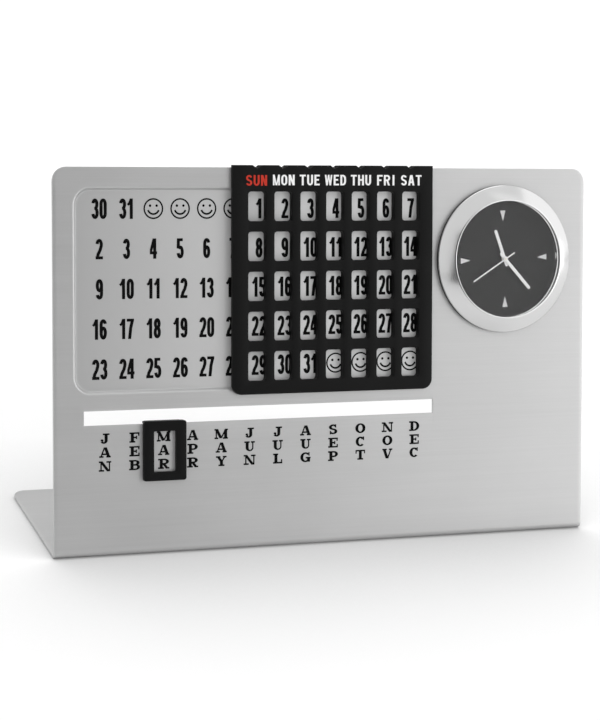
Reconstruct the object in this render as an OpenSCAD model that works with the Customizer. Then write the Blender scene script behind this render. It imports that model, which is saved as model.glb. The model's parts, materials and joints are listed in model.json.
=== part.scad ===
// Perpetual desk calendar: one bent steel sheet with printed dates, two plastic slides and a quartz clock.
// Z is up, the front faces -Y, and the origin is on the table under the middle of the whole object.
// Most pieces are drawn on the panel: s runs right from its left edge, t runs up its slope from the
// bend's corner line, and h stands out of its front face.

/* [Plate] */
// Width of the sheet
plate_w = 191; // [180:1:230]
// Length of the leaning panel, from the bend's corner line to its top edge
panel_h = 125; // [125:1:150]
// Length of the foot, from the bend's corner line to its back edge
foot_len = 50.6; // [46:0.2:70]
// How far the panel leans back from upright, in degrees
lean = 18.5; // [12:0.5:20]
// Thickness of the sheet
sheet_t = 1; // [0.8:0.1:1.2]
// Outer radius of the bend
bend_r = 1.8; // [1.5:0.1:2.5]
// Radius of the four free corners
corner_r = 4.7; // [2:0.1:8]

/* [Printed dates] */
// Distance between date columns
column_pitch = 9.14; // [7.6:0.02:9.2]
// Distance between printed date rows
row_pitch = 12.8; // [10.7:0.1:12.9]
// Middle of the first date column, from the panel's left edge
first_column_s = 15.85; // [15:0.05:17]
// Middle of the lowest date row
last_row_t = 60.5; // [60:0.1:61]
// Height of a date number
number_h = 6.5; // [4:0.1:7]
// Width of a date digit
number_w = 2.5; // [1.5:0.1:2.8]
// Diameter of a smiling face
face_d = 6.7; // [4:0.1:7]
// Depth of the pressed recess behind the dates
recess_depth = 1.3; // [0.9:0.1:1.5]
// Radius of the recess's corners
recess_r = 5; // [3:0.5:7]
// Recess edge below the middle of the lowest date row
recess_below = 7; // [6.8:0.1:7.5]
// Recess edge above the middle of the highest date row
recess_above = 6; // [5.8:0.1:6.3]

/* [Date slide] */
// Height of a window
window_h = 9.6; // [7.5:0.1:10]
// Width of a window
window_w = 6.3; // [5:0.1:6.6]
// Radius of a window's corners
window_r = 0.8; // [0.4:0.1:1.5]
// Extra distance between window rows, over the printed rows
window_row_gain = 0.23; // [0:0.01:0.3]
// Extra distance between window columns, over the printed columns
window_column_gain = 0.08; // [0:0.01:0.1]
// How far the lowest windows' middles stand above the lowest printed row, or below it
window_lift = -0.25; // [-0.5:0.05:0.6]
// Frame left of the windows
slide_left = 5.6; // [4:0.05:6]
// Frame right of the windows
slide_right = 4.95; // [4:0.05:5.1]
// Frame below the lowest windows
slide_below = 4.4; // [3.5:0.1:5]
// Height of the slide's face above the panel
slide_face_h = 1.4; // [1:0.1:2.5]
// How far the body in the recess stops short of the slide's right side
slide_lap = 2; // [1.9:0.1:3]
// How far the body in the recess stands in from the slide's left side
slide_body_in = 1; // [0:0.05:1.5]
// Radius of the slide's bottom corners
slide_r = 3.3; // [2:0.1:5]
// How far the slide stands left of its right-hand stop
slide_offset = 1.35; // [0:0.05:5]
// Thickness of the hook over the panel's top edge
hook_top_t = 0.65; // [0.5:0.05:1.5]
// Length of the hook behind the panel
hook_len = 6.4; // [3:0.1:6.4]
// How far the date slide's hook stands in from the slide's sides
hook_in = 1.5; // [0:0.1:3]
// Thickness of the hooks behind the panel
hook_t = 1.2; // [0.8:0.1:2]
// Width of a thumb notch in the slide's top edge
notch_w = 3.2; // [2:0.1:5]
// Depth of a thumb notch
notch_d = 1.1; // [0.5:0.1:2]
// Height of the weekday letters
weekday_h = 3.4; // [2:0.1:3.8]
// Width of a weekday letter
weekday_w = 1.9; // [1:0.1:2.1]
// Middle of the weekday names above the highest windows' middles
weekday_above = 8.5; // [7.5:0.1:8.6]

/* [Months and month slide] */
// Distance between month columns
month_pitch = 9.96; // [8.3:0.02:9.96]
// Middle of the first month column
first_month_s = 17.05; // [15:0.05:18]
// Middle of the months' letters
month_t = 34; // [33.5:0.1:34.5]
// Height of a month letter
month_letter_h = 3.3; // [2:0.1:3.8]
// Width of a month letter
month_letter_w = 3; // [2:0.1:4]
// Distance between the stacked letters
month_line = 4.45; // [3.9:0.05:4.6]
// Lower edge of the slot
slot_t = 42.66; // [42:0.02:44]
// Height of the slot
slot_h = 4.67; // [4.6:0.01:5.6]
// Width of the month slide
month_slide_w = 14.6; // [12:0.1:18]
// Height of the month slide
month_slide_h = 19.35; // [17:0.05:22]
// Height of the month slide's face above the panel
month_slide_face_h = 1.5; // [1:0.1:3]
// Width of its window
month_window_w = 7.6; // [6:0.1:9]
// Height of its window
month_window_h = 13.15; // [12:0.05:14.5]
// Bar above its window
month_slide_bar = 3.3; // [2:0.1:3.5]
// How much narrower its neck is than its frame, each side
month_neck_in = 0.4; // [0.2:0.1:2]
// How far its hook stands in from the month slide's sides
month_hook_in = 1.2; // [0:0.1:2]
// Month that it stands on, from 0 for the first
month_shown = 2; // [0:1:11]
// How far it stands left of that month's middle, or right of it where this is below 0
month_offset = -0.1; // [-1:0.05:1]

/* [Clock] */
// Middle of the clock from the panel's left edge
clock_s = 159.7; // [159.6:0.1:165]
// Middle of the clock up the slope
clock_t = 94.4; // [85:0.1:96]
// Diameter of the bezel
bezel_d = 50; // [49:0.5:52]
// Height of the bezel's straight rim
bezel_rim_h = 1.6; // [1:0.1:2]
// Height of the bezel's lip above the panel
bezel_lip_h = 4.5; // [4.4:0.1:5.5]
// Diameter of the opening in the bezel
opening_d = 39.3; // [38:0.1:40]
// Diameter of the clock case, which passes through the panel
case_d = 44; // [43.5:0.5:45]
// Depth of the case behind the panel's face
case_depth = 10; // [10:0.5:12]
// Hour, minute and second of the hands as they stand
hands_time = [11, 23.2, 40];
// How far the dial and its hands are turned to the left in the panel, in degrees
dial_turn = 2; // [-5:0.5:5]

/* [Hidden] */
$fn = 64;

// Clearances: a sliding piece from the panel, a wheel's bore round its arbor, a fixed piece in its seat
slide_gap = 0.12;
run_gap = 0.05;
seat_gap = 0.05;
cut = 0.5;                 // how far a cutter passes the face it cuts

// The bend: its centre lies bend_r inside both outer faces
bend_y = bend_r * (1 + sin(lean)) / cos(lean);
depth_mid = (bend_y - bend_r + foot_len) / 2;

// Date grid
columns = 13;
rows = 5;
weekdays = 7;
window_column_pitch = column_pitch + window_column_gain;
windows_w = (weekdays - 1) * window_column_pitch + window_w;
slide_w = slide_left + windows_w + slide_right;
slide_body_w = slide_w - slide_lap - slide_body_in;
slide_travel = (columns - weekdays) * column_pitch;
slide_stop_s = first_column_s + (weekdays - 1) / 2 * column_pitch - windows_w / 2 - slide_left;
recess_s0 = slide_stop_s + slide_body_in - slide_gap;
recess_w = slide_body_w + slide_travel + 2 * slide_gap;
recess_t0 = last_row_t - recess_below;
recess_h = recess_below + (rows - 1) * row_pitch + recess_above;
floor_h = -recess_depth;
recess_wall = 0.9;         // wall of the bulge behind the panel
slide_s0 = slide_stop_s + slide_travel - slide_offset;
window_row_pitch = row_pitch + window_row_gain;
window_t0 = last_row_t + window_lift;
slide_t0 = window_t0 - window_h / 2 - slide_below;
slide_t1 = panel_h + slide_gap + hook_top_t;
top_window_t = window_t0 + (rows - 1) * window_row_pitch;
weekday_t = top_window_t + weekday_above;
ink_t = 0.04;

// Month row, slot and slide
months = ["JAN", "FEB", "MAR", "APR", "MAY", "JUN", "JUL", "AUG", "SEP", "OCT", "NOV", "DEC"];
neck_w = month_slide_w - 2 * month_neck_in;
slot_s0 = first_month_s - neck_w / 2 - slide_gap;
slot_w = (len(months) - 1) * month_pitch + neck_w + 2 * slide_gap;
month_slide_s = first_month_s + month_shown * month_pitch - month_offset;
month_neck_t = 0.75;
month_slide_t1 = slot_t + slide_gap + month_neck_t;
month_hook_len = 6.2;

// Strokes of each letter on a grid 4 wide and 6 high, as [x, y, x, y]
STROKES = [
    ["0", [[0, 0, 4, 0], [4, 0, 4, 6], [4, 6, 0, 6], [0, 6, 0, 0]]],
    ["1", [[2, 0, 2, 6], [0.6, 4.6, 2, 6]]],
    ["2", [[0, 6, 4, 6], [4, 6, 4, 3.2], [4, 3.2, 0, 0], [0, 0, 4, 0]]],
    ["3", [[0, 6, 4, 6], [4, 6, 4, 0], [4, 0, 0, 0], [1, 3, 4, 3]]],
    ["4", [[0, 6, 0, 2.4], [0, 2.4, 4, 2.4], [3, 0, 3, 6]]],
    ["5", [[4, 6, 0, 6], [0, 6, 0, 3.2], [0, 3.2, 4, 3.2], [4, 3.2, 4, 0], [4, 0, 0, 0]]],
    ["6", [[4, 6, 0, 6], [0, 6, 0, 0], [0, 0, 4, 0], [4, 0, 4, 3.2], [4, 3.2, 0, 3.2]]],
    ["7", [[0, 6, 4, 6], [4, 6, 1.6, 0]]],
    ["8", [[0, 0, 4, 0], [4, 0, 4, 6], [4, 6, 0, 6], [0, 6, 0, 0], [0, 3, 4, 3]]],
    ["9", [[4, 2.8, 0, 2.8], [0, 2.8, 0, 6], [0, 6, 4, 6], [4, 6, 4, 0], [4, 0, 0, 0]]],
    ["A", [[0, 0, 2, 6], [2, 6, 4, 0], [0.8, 2, 3.2, 2]]],
    ["B", [[0, 0, 0, 6], [0, 6, 3.6, 6], [3.6, 6, 3.6, 0], [3.6, 0, 0, 0], [0, 3, 3.6, 3]]],
    ["C", [[4, 6, 0, 6], [0, 6, 0, 0], [0, 0, 4, 0]]],
    ["D", [[0, 0, 0, 6], [0, 6, 3, 6], [3, 6, 4, 4.6], [4, 4.6, 4, 1.4], [4, 1.4, 3, 0], [3, 0, 0, 0]]],
    ["E", [[4, 6, 0, 6], [0, 6, 0, 0], [0, 0, 4, 0], [0, 3, 3, 3]]],
    ["F", [[4, 6, 0, 6], [0, 6, 0, 0], [0, 3, 3, 3]]],
    ["G", [[4, 6, 0, 6], [0, 6, 0, 0], [0, 0, 4, 0], [4, 0, 4, 2.6], [4, 2.6, 2.4, 2.6]]],
    ["H", [[0, 0, 0, 6], [4, 0, 4, 6], [0, 3, 4, 3]]],
    ["I", [[2, 0, 2, 6]]],
    ["J", [[3, 6, 3, 0], [3, 0, 0, 0], [0, 0, 0, 1.6]]],
    ["L", [[0, 6, 0, 0], [0, 0, 4, 0]]],
    ["M", [[0, 0, 0, 6], [0, 6, 2, 2], [2, 2, 4, 6], [4, 6, 4, 0]]],
    ["N", [[0, 0, 0, 6], [0, 6, 4, 0], [4, 0, 4, 6]]],
    ["O", [[0, 0, 4, 0], [4, 0, 4, 6], [4, 6, 0, 6], [0, 6, 0, 0]]],
    ["P", [[0, 0, 0, 6], [0, 6, 4, 6], [4, 6, 4, 3], [4, 3, 0, 3]]],
    ["R", [[0, 0, 0, 6], [0, 6, 4, 6], [4, 6, 4, 3], [4, 3, 0, 3], [2, 3, 4, 0]]],
    ["S", [[4, 6, 0, 6], [0, 6, 0, 3], [0, 3, 4, 3], [4, 3, 4, 0], [4, 0, 0, 0]]],
    ["T", [[0, 6, 4, 6], [2, 6, 2, 0]]],
    ["U", [[0, 6, 0, 0], [0, 0, 4, 0], [4, 0, 4, 6]]],
    ["V", [[0, 6, 2, 0], [2, 0, 4, 6]]],
    ["W", [[0, 6, 1, 0], [1, 0, 2, 4], [2, 4, 3, 0], [3, 0, 4, 6]]],
    ["Y", [[0, 6, 2, 3], [4, 6, 2, 3], [2, 3, 2, 0]]],
];
stroke_share = 0.17;       // stroke width of a letter, as a share of its height

// Clock levels, all heights above the panel's front face
dial_h = 0.7;              // face of the dial
dial_t = 0.4;
lens_h = 3.7;              // front face of the lens
lens_t = 1;
hour_hand_h = 1.15;
minute_hand_h = 1.6;
second_hand_h = 2.05;
hand_t = 0.2;
bore_r = case_d / 2 - 1.6; // inside of the case
fitted_r = bore_r - seat_gap;
case_front_h = 2;
hole_r = case_d / 2 + 0.3;
plate_h = -1.5;            // front face of the movement's main plate
plate_t = 0.9;
bridge_h = -6.4;           // front face of the train bridge
bridge_t = 0.6;
bridge_r = 7;
bridge_at = [-1.2, 1];
cover_t = 1;
nut_wall = 2.5;            // retaining ring outside the case
nut_t = 2.6;

// Arbors and pipes, from the inside out
second_arbor_r = 0.25;
minute_pipe_ri = second_arbor_r + run_gap;
minute_pipe_r = 0.55;
hour_pipe_ri = minute_pipe_r + run_gap;
hour_pipe_r = 0.85;
arbor_r = 0.22;

// Wheel train: modules and teeth
cannon_teeth = 12;
minute_wheel_teeth = 36;
motion_module = 0.2;
minute_pinion_teeth = 10;
hour_wheel_teeth = 40;
hour_module = motion_module * (cannon_teeth + minute_wheel_teeth) / (minute_pinion_teeth + hour_wheel_teeth);
knob_teeth = 12;
leaf_teeth = 8;            // leaves of the third and second pinions
third_wheel_teeth = 60;
third_module = 0.15;
centre_wheel_teeth = 64;
centre_module = third_module * (leaf_teeth + third_wheel_teeth) / (leaf_teeth + centre_wheel_teeth);
second_wheel_teeth = 60;
intermediate_leaves = 10;
second_module = 0.15;
intermediate_teeth = 30;
rotor_leaves = 6;
rotor_module = 0.18;

// Where the arbors stand, from the middle of the clock
minute_dir = 0;
minute_at = motion_module * (cannon_teeth + minute_wheel_teeth) / 2 * [cos(minute_dir), sin(minute_dir)];
knob_dir = -60;
knob_at = minute_at + motion_module * (knob_teeth + minute_wheel_teeth) / 2 * [cos(knob_dir), sin(knob_dir)];
third_dir = 60;
third_at = third_module * (leaf_teeth + third_wheel_teeth) / 2 * [cos(third_dir), sin(third_dir)];
inter_dir = 180;
inter_at = second_module * (intermediate_leaves + second_wheel_teeth) / 2 * [cos(inter_dir), sin(inter_dir)];
rotor_dir = 120;
rotor_run = rotor_module * (rotor_leaves + intermediate_teeth) / 2;
rotor_at = inter_at + rotor_run * [cos(rotor_dir), sin(rotor_dir)];

// Levels of the wheels
motion_h = -0.5;           // hour wheel and minute pinion
cannon_h = -1.3;           // minute wheel and cannon pinion
wheel_t = 0.4;
centre_h = -3.2;
third_h = -4.2;
second_h = -5;
magnet_h = -6;
magnet_t = 0.8;
magnet_r = 1.3;

// Posts, pillars, battery and board
post_r = 1.2;
posts_at = [[-3.6, -5.4], [6.8, -0.8], [-4.6, 8]];
pillar_r = 1.5;
pillars_at = [[-14.7, 8.5], [-13.5, -10.3], [14.6, -8.4], [6.5, 15.7]];
screw_r = 0.5;
screw_head_r = 1;
battery_r = 5.8;
battery_t = 5.4;
battery_step = 0.3;        // height of the smaller front terminal
battery_at = [0, -12.3];
battery_h = -9.4;          // its back face
cradle_wall = 0.8;
board_s0 = [9.4, -1];
board_size = [8, 9.4];
board_h = -6.2;
board_t = 0.8;
board_boss_at = [13.4, 3.4];
strip_t = 0.3;
strip_w = 1.5;
negative_h = -3.9;
positive_h = battery_h - strip_t;
coil_at = [-6, 12.6];
coil_r = 2.2;
coil_len = 10.4;
core_h = -5.9;
core_t = 1;
core_w = 1.6;
stator_t = 0.6;
knob_r = 3.4;
knob_shaft_r = 0.8;
knob_len = 2.6;
hatch_r = 6.4;

hand_hour = hands_time[0] + hands_time[1] / 60;

// Places: the panel's own frame, and the clock's middle on it
module on_panel()
    translate([-plate_w / 2, -depth_mid, 0]) rotate([90 - lean, 0, 0]) children();

module at_clock()
    on_panel() translate([clock_s, clock_t, 0]) children();

// A disc, a ring and a box between two levels
module disc(r, h0, h1)
    translate([0, 0, h0]) cylinder(r = r, h = h1 - h0);

module ring(ro, ri, h0, h1)
    difference() {
        disc(ro, h0, h1);
        disc(ri, h0 - cut, h1 + cut);
    }

module slab(p0, p1, h0, h1)
    translate([p0[0], p0[1], h0]) cube([p1[0] - p0[0], p1[1] - p0[1], h1 - h0]);

// A rectangle with round corners, from its lower left corner
module round_rect(w, h, r)
    union() {
        translate([r, 0]) square([w - 2 * r, h]);
        translate([0, r]) square([w, h - 2 * r]);
        for (x = [r, w - r], y = [r, h - r])
            translate([x, y]) circle(r = r);
    }

module plaque(s0, t0, w, h, r, h0, h1)
    translate([s0, t0, h0]) linear_extrude(h1 - h0) round_rect(w, h, r);

// What is cut off a square corner at the origin, with the sheet towards +x and +y
module corner_cut(r, h0, h1)
    translate([0, 0, h0]) linear_extrude(h1 - h0) difference() {
        translate([-cut, -cut]) square(r + cut);
        translate([r, r]) circle(r = r);
    }

// One stroke of a letter between two grid points
module stroke(a, b, w) {
    run = b - a;
    translate(a) rotate(atan2(run[1], run[0])) translate([-w / 2, -w / 2]) square([norm(run) + w, w]);
}

// A letter or digit, w by h over its outer edges, centred on the origin
module glyph(letter, w, h) {
    pen = stroke_share * h;
    unit = [(w - pen) / 4, (h - pen) / 6];
    lines = STROKES[search([letter], STROKES)[0]][1];
    for (l = lines)
        stroke([(l[0] - 2) * unit[0], (l[1] - 3) * unit[1]],
               [(l[2] - 2) * unit[0], (l[3] - 3) * unit[1]], pen);
}

// A word in a row, centred on the origin
module word(letters, w, h, pitch)
    for (i = [0:len(letters) - 1])
        translate([(i - (len(letters) - 1) / 2) * pitch, 0]) glyph(letters[i], w, h);

// A smiling face: a thin circle, two eyes and an arc for the mouth
module smile(d) {
    pen = 0.06 * d;
    difference() {
        circle(d = d);
        circle(d = d - 2 * pen);
    }
    for (x = [-0.17, 0.17])
        translate([x * d, 0.14 * d]) circle(d = 0.13 * d);
    intersection() {
        difference() {
            circle(d = 0.56 * d);
            circle(d = 0.56 * d - 2 * pen);
        }
        translate([-d / 2, -d]) square([d, d - 0.08 * d]);
    }
}

// Stand
function arc(centre, r, a0, a1, n = 16) =
    [for (i = [0:n]) centre + r * [cos(a0 + (a1 - a0) * i / n), sin(a0 + (a1 - a0) * i / n)]];

// Side view of the bent sheet: y back along x, z up along y
module sheet_profile() {
    up = [sin(lean), cos(lean)];
    inward = [cos(lean), -sin(lean)];
    centre = [bend_y, bend_r];
    polygon(concat(
        [[foot_len, 0]],
        arc(centre, bend_r, 270, 180 - lean),
        [panel_h * up, panel_h * up + sheet_t * inward],
        arc(centre, bend_r - sheet_t, 180 - lean, 270),
        [[foot_len, sheet_t]]));
}

module recess_outline(grow, h0, h1)
    plaque(recess_s0 - grow, recess_t0 - grow, recess_w + 2 * grow, recess_h + 2 * grow,
           recess_r + grow, h0, h1);

module stand_plate()
    color("silver") difference() {
        union() {
            translate([-plate_w / 2, -depth_mid, 0]) rotate([90, 0, 90])
                linear_extrude(plate_w) sheet_profile();
            on_panel() recess_outline(recess_wall, floor_h - sheet_t, -sheet_t / 2);
        }
        on_panel() {
            recess_outline(0, floor_h, cut);
            slab([slot_s0, slot_t], [slot_s0 + slot_w, slot_t + slot_h], -sheet_t - cut, cut);
            translate([clock_s, clock_t, 0]) disc(hole_r, -sheet_t - cut, cut);
            for (side = [0, 1])
                translate([side * plate_w, panel_h, 0]) mirror([side, 0, 0]) mirror([0, 1, 0])
                    corner_cut(corner_r, -sheet_t - cut, cut);
        }
        for (side = [0, 1])
            mirror([side, 0, 0]) translate([-plate_w / 2, foot_len - depth_mid, 0]) mirror([0, 1, 0])
                corner_cut(corner_r, -cut, sheet_t + cut);
    }

// What stands in a date cell: a number, or undef for a smiling face
function cell_value(row, column) =
    let (day = column - 5 + 7 * row)
    day < 1 ? (column < 2 ? 30 + column : undef) : (day > 31 ? undef : day);

module date_numbers()
    color("black") on_panel() for (row = [0:rows - 1], column = [0:columns - 1])
        translate([first_column_s + column * column_pitch,
                   last_row_t + (rows - 1 - row) * row_pitch, floor_h])
            linear_extrude(ink_t) {
                day = cell_value(row, column);
                if (is_undef(day)) smile(face_d);
                else word(str(day), number_w, number_h, number_w + 0.25);
            }

module month_names()
    color("black") on_panel() for (m = [0:len(months) - 1], i = [0:2])
        translate([first_month_s + m * month_pitch, month_t + (1 - i) * month_line, 0])
            linear_extrude(ink_t) glyph(months[m][i], month_letter_w, month_letter_h);

// Date slide: a face over the panel, a body in the recess, and a hook over the top edge
function window_s(i) = slide_s0 + slide_left + window_w / 2 + i * window_column_pitch;

module slide_face_outline()
    difference() {
        translate([slide_s0, slide_t0]) union() {
            round_rect(slide_w, slide_t1 - slide_t0, slide_r);
            translate([0, 2 * slide_r]) square([slide_w, slide_t1 - slide_t0 - 2 * slide_r]);
        }
        thumb_notches();
    }

module thumb_notches()
    for (i = [0:weekdays - 1])
        translate([window_s(i), slide_t1])
            polygon([[-notch_w / 2, 0], [0, -notch_d], [notch_w / 2, 0],
                     [notch_w / 2, cut], [-notch_w / 2, cut]]);

module windows()
    for (i = [0:weekdays - 1], j = [0:rows - 1])
        translate([window_s(i) - window_w / 2, window_t0 + j * window_row_pitch - window_h / 2])
            round_rect(window_w, window_h, window_r);

module date_slide()
    color("#202020") on_panel() {
        body_t0 = recess_t0 + slide_gap;
        body_h = recess_h - 2 * slide_gap;
        hook_h0 = -sheet_t - slide_gap - hook_t;
        hook_s0 = slide_s0 + hook_in;
        hook_s1 = slide_s0 + slide_w - hook_in;
        translate([0, 0, slide_gap]) linear_extrude(slide_face_h - slide_gap) difference() {
            slide_face_outline();
            windows();
        }
        translate([0, 0, floor_h + slide_gap]) linear_extrude(recess_depth) difference() {
            translate([slide_s0 + slide_body_in, body_t0]) round_rect(slide_body_w, body_h, recess_r);
            windows();
        }
        difference() {
            union() {
                slab([hook_s0, panel_h + slide_gap], [hook_s1, slide_t1], hook_h0, slide_gap);
                slab([hook_s0, slide_t1 - hook_len], [hook_s1, slide_t1], hook_h0, hook_h0 + hook_t);
            }
            translate([0, 0, hook_h0 - cut]) linear_extrude(slide_face_h - hook_h0 + 2 * cut)
                thumb_notches();
        }
    }

module weekday(i, letters)
    on_panel() translate([window_s(i), weekday_t, slide_face_h])
        linear_extrude(ink_t) word(letters, weekday_w, weekday_h, weekday_w + 0.65);

module weekday_sunday()
    color("red") weekday(0, "SUN");

module weekday_names() {
    names = ["MON", "TUE", "WED", "THU", "FRI", "SAT"];
    color("white") for (i = [1:6]) weekday(i, names[i - 1]);
}

// Month slide: a frame, a neck through the slot and a hook down behind the panel
module month_slide()
    color("#202020") on_panel() translate([month_slide_s - month_slide_w / 2, 0, 0]) {
        bottom = month_slide_t1 - month_slide_h;
        hook_h1 = -sheet_t - slide_gap;
        window_t = month_slide_t1 - month_slide_bar - month_window_h;
        difference() {
            plaque(0, bottom, month_slide_w, month_slide_h, 0.8, slide_gap, month_slide_face_h);
            plaque((month_slide_w - month_window_w) / 2, window_t, month_window_w, month_window_h, 0.4,
                   -cut, month_slide_face_h + cut);
        }
        slab([month_neck_in, slot_t + slide_gap], [month_slide_w - month_neck_in, month_slide_t1],
             hook_h1 - hook_t / 4, month_slide_face_h / 2);
        slab([month_hook_in, month_slide_t1 - month_hook_len],
             [month_slide_w - month_hook_in, month_slide_t1], hook_h1 - hook_t, hook_h1);
    }

// Clock: the parts that show
module clock_bezel()
    color("gainsboro") at_clock() rotate_extrude() {
        rim_r = bezel_d / 2;
        open_r = opening_d / 2;
        polygon([[case_d / 2, 0], [rim_r, 0], [rim_r, bezel_rim_h], [open_r + 0.5, bezel_lip_h],
                 [open_r, bezel_lip_h], [open_r, lens_h], [bore_r, lens_h], [bore_r, case_front_h],
                 [case_d / 2, case_front_h]]);
    }

module clock_lens()
    color("lightblue", 0.3) at_clock() disc(fitted_r, lens_h - lens_t, lens_h);

module clock_inner_ring()
    color("whitesmoke") at_clock() rotate_extrude()
        polygon([[opening_d / 2 - 0.5, dial_h], [fitted_r, dial_h], [fitted_r, lens_h - lens_t],
                 [opening_d / 2, lens_h - lens_t]]);

module clock_dial()
    color("#454545") at_clock() ring(fitted_r, hour_pipe_r + 2 * run_gap, dial_h - dial_t, dial_h);

module dial_marks()
    color("lightgray") at_clock() for (quarter = [0:3])
        rotate(90 * quarter + dial_turn) translate([0, 0, dial_h]) linear_extrude(ink_t)
            polygon([[-1, 16.4], [1, 16.4], [0, 12.8]]);

// A hand pointing up: a round hub with its bore, and a blade with a tail, both with round ends
module hand(blade, tail, w, hub_r, bore, h0)
    translate([0, 0, h0]) linear_extrude(hand_t) difference() {
        union() {
            circle(r = hub_r);
            translate([-w / 2, -tail]) square([w, blade + tail]);
            for (end = [-tail, blade])
                translate([0, end]) circle(d = w);
        }
        circle(r = bore);
    }

module hour_hand()
    color("lightgray") at_clock() rotate(dial_turn - 30 * hand_hour)
        hand(9.9, 2.2, 1.1, 1.25, hour_pipe_r, hour_hand_h);

module minute_hand()
    color("lightgray") at_clock() rotate(dial_turn - 6 * hands_time[1])
        hand(13.4, 2.2, 1.1, 0.95, minute_pipe_r, minute_hand_h);

module second_hand()
    color("white") at_clock() rotate(dial_turn - 6 * hands_time[2])
        hand(14.2, 3.8, 0.4, 0.7, second_arbor_r, second_hand_h);

// Clock: case and fixings
module clock_case()
    color("#303030") at_clock() ring(case_d / 2, bore_r, -case_depth, case_front_h);

module retaining_ring()
    color("#404040") at_clock() difference() {
        ring(case_d / 2 + nut_wall, case_d / 2 + seat_gap, -sheet_t - nut_t, -sheet_t);
        for (i = [0:11])
            rotate(30 * i) translate([case_d / 2 + nut_wall, 0, 0])
                disc(0.8, -sheet_t - nut_t - cut, -sheet_t + cut);
    }

module back_cover()
    color("#383838") at_clock() difference() {
        disc(case_d / 2, -case_depth - cover_t, -case_depth);
        translate(battery_at) disc(hatch_r + seat_gap, -case_depth - cover_t - cut, -case_depth + cut);
        translate(knob_at) disc(knob_shaft_r + run_gap, -case_depth - cover_t - cut, -case_depth + cut);
        for (p = pillars_at)
            translate(p) disc(screw_r, -case_depth - cover_t - cut, -case_depth + cut);
    }

module cover_screws()
    color("silver") at_clock() for (p = pillars_at)
        translate(p) machine_screw(-case_depth - cover_t, 3.5);

// A small screw seen from behind: its head's underside at level h, its shank running to the front
module machine_screw(h, shank)
    difference() {
        union() {
            disc(screw_head_r, h - 0.5, h);
            disc(screw_r, h, h + shank);
        }
        slab([-screw_head_r, -0.12], [screw_head_r, 0.12], h - 0.5 - cut, h - 0.25);
    }

module battery_hatch()
    color("#404040") at_clock() translate(battery_at) difference() {
        disc(hatch_r, -case_depth - cover_t, positive_h);
        slab([-4, -0.8], [4, 0.8], -case_depth - cover_t - cut, -case_depth - cover_t + 0.6);
    }

module battery()
    color("silver") at_clock() translate(battery_at) union() {
        disc(battery_r, battery_h, battery_h + battery_t - battery_step);
        disc(battery_r - 1, battery_h + battery_t - battery_step, battery_h + battery_t);
    }

// Clock: movement plates. The main plate carries a spacer ring to the dial, the posts of the bridge,
// the pillars of the back cover, the board's boss and the battery's cradle.
module main_plate()
    color("#e8e8e0") at_clock() difference() {
        plate_back = plate_h - plate_t;
        union() {
            disc(fitted_r, plate_back, plate_h);
            ring(fitted_r, fitted_r - 1.2, plate_h - cut / 2, dial_h - dial_t);
            for (p = posts_at)
                translate(p) disc(post_r, bridge_h, plate_h - cut / 2);
            for (p = pillars_at)
                translate(p) disc(pillar_r, -case_depth, plate_h - cut / 2);
            translate(board_boss_at) disc(post_r, board_h + board_t, plate_h - cut / 2);
            translate(battery_at)
                disc(battery_r + seat_gap + cradle_wall, bridge_h + 0.2, plate_h - cut / 2);
        }
        translate(battery_at) disc(battery_r + seat_gap, bridge_h - cut, plate_back);
        slab([2, battery_at[1] - 1], [9, battery_at[1] + 1], negative_h - 0.2, plate_back);
        disc(minute_pipe_r + run_gap, plate_back - cut, plate_h + cut);
        translate(knob_at) disc(knob_shaft_r + run_gap, plate_back - cut, plate_h + cut);
        for (p = [minute_at, third_at, inter_at, rotor_at])
            translate(p) disc(arbor_r + run_gap, plate_back - cut, plate_h + cut);
        for (p = posts_at)
            translate(p) disc(screw_r, bridge_h - cut, bridge_h + 2);
        for (p = pillars_at)
            translate(p) disc(screw_r, -case_depth - cut, -case_depth + 3.5);
        translate(board_boss_at) disc(screw_r, board_h, board_h + board_t + 2);
    }

module train_bridge()
    color("#d8d8d0") at_clock() difference() {
        union() {
            translate(bridge_at) disc(bridge_r, bridge_h - bridge_t, bridge_h);
            for (p = posts_at)
                translate(p) disc(1.5 * post_r, bridge_h - bridge_t, bridge_h);
        }
        disc(second_arbor_r + run_gap, bridge_h - bridge_t - cut, bridge_h + cut);
        for (p = [third_at, inter_at, rotor_at])
            translate(p) disc(arbor_r + run_gap, bridge_h - bridge_t - cut, bridge_h + cut);
        for (p = posts_at)
            translate(p) disc(screw_r, bridge_h - bridge_t - cut, bridge_h + cut);
    }

module bridge_screws()
    color("silver") at_clock() {
        for (p = posts_at)
            translate(p) machine_screw(bridge_h - bridge_t, bridge_t + 2);
        translate(board_boss_at) machine_screw(board_h, board_t + 2);
    }

// A gear with a tooth (or, with gap, a space) pointing in direction dir. The teeth are slimmer than
// their spaces, so a pair turns freely.
module gear(teeth, m, dir, gap, h0, h1) {
    pitch_r = teeth * m / 2;
    step = 360 / teeth;
    start = dir + (gap ? step / 2 : 0);
    flank = [[-0.27, -1.05], [-0.2, 0], [-0.09, 0.75], [0.09, 0.75], [0.2, 0], [0.27, -1.05]];
    translate([0, 0, h0]) linear_extrude(h1 - h0) polygon([
        for (i = [0:teeth - 1], corner = flank)
            let (a = start + (i + corner[0]) * step)
            (pitch_r + corner[1] * m) * [cos(a), sin(a)]]);
}

// Clock: wheels, each with what turns with it
module hour_wheel()
    color("gold") at_clock() difference() {
        union() {
            gear(hour_wheel_teeth, hour_module, minute_dir, true, motion_h, motion_h + wheel_t);
            disc(hour_pipe_r, motion_h, hour_hand_h + hand_t);
        }
        disc(hour_pipe_ri, motion_h - cut, hour_hand_h + hand_t + cut);
    }

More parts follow.
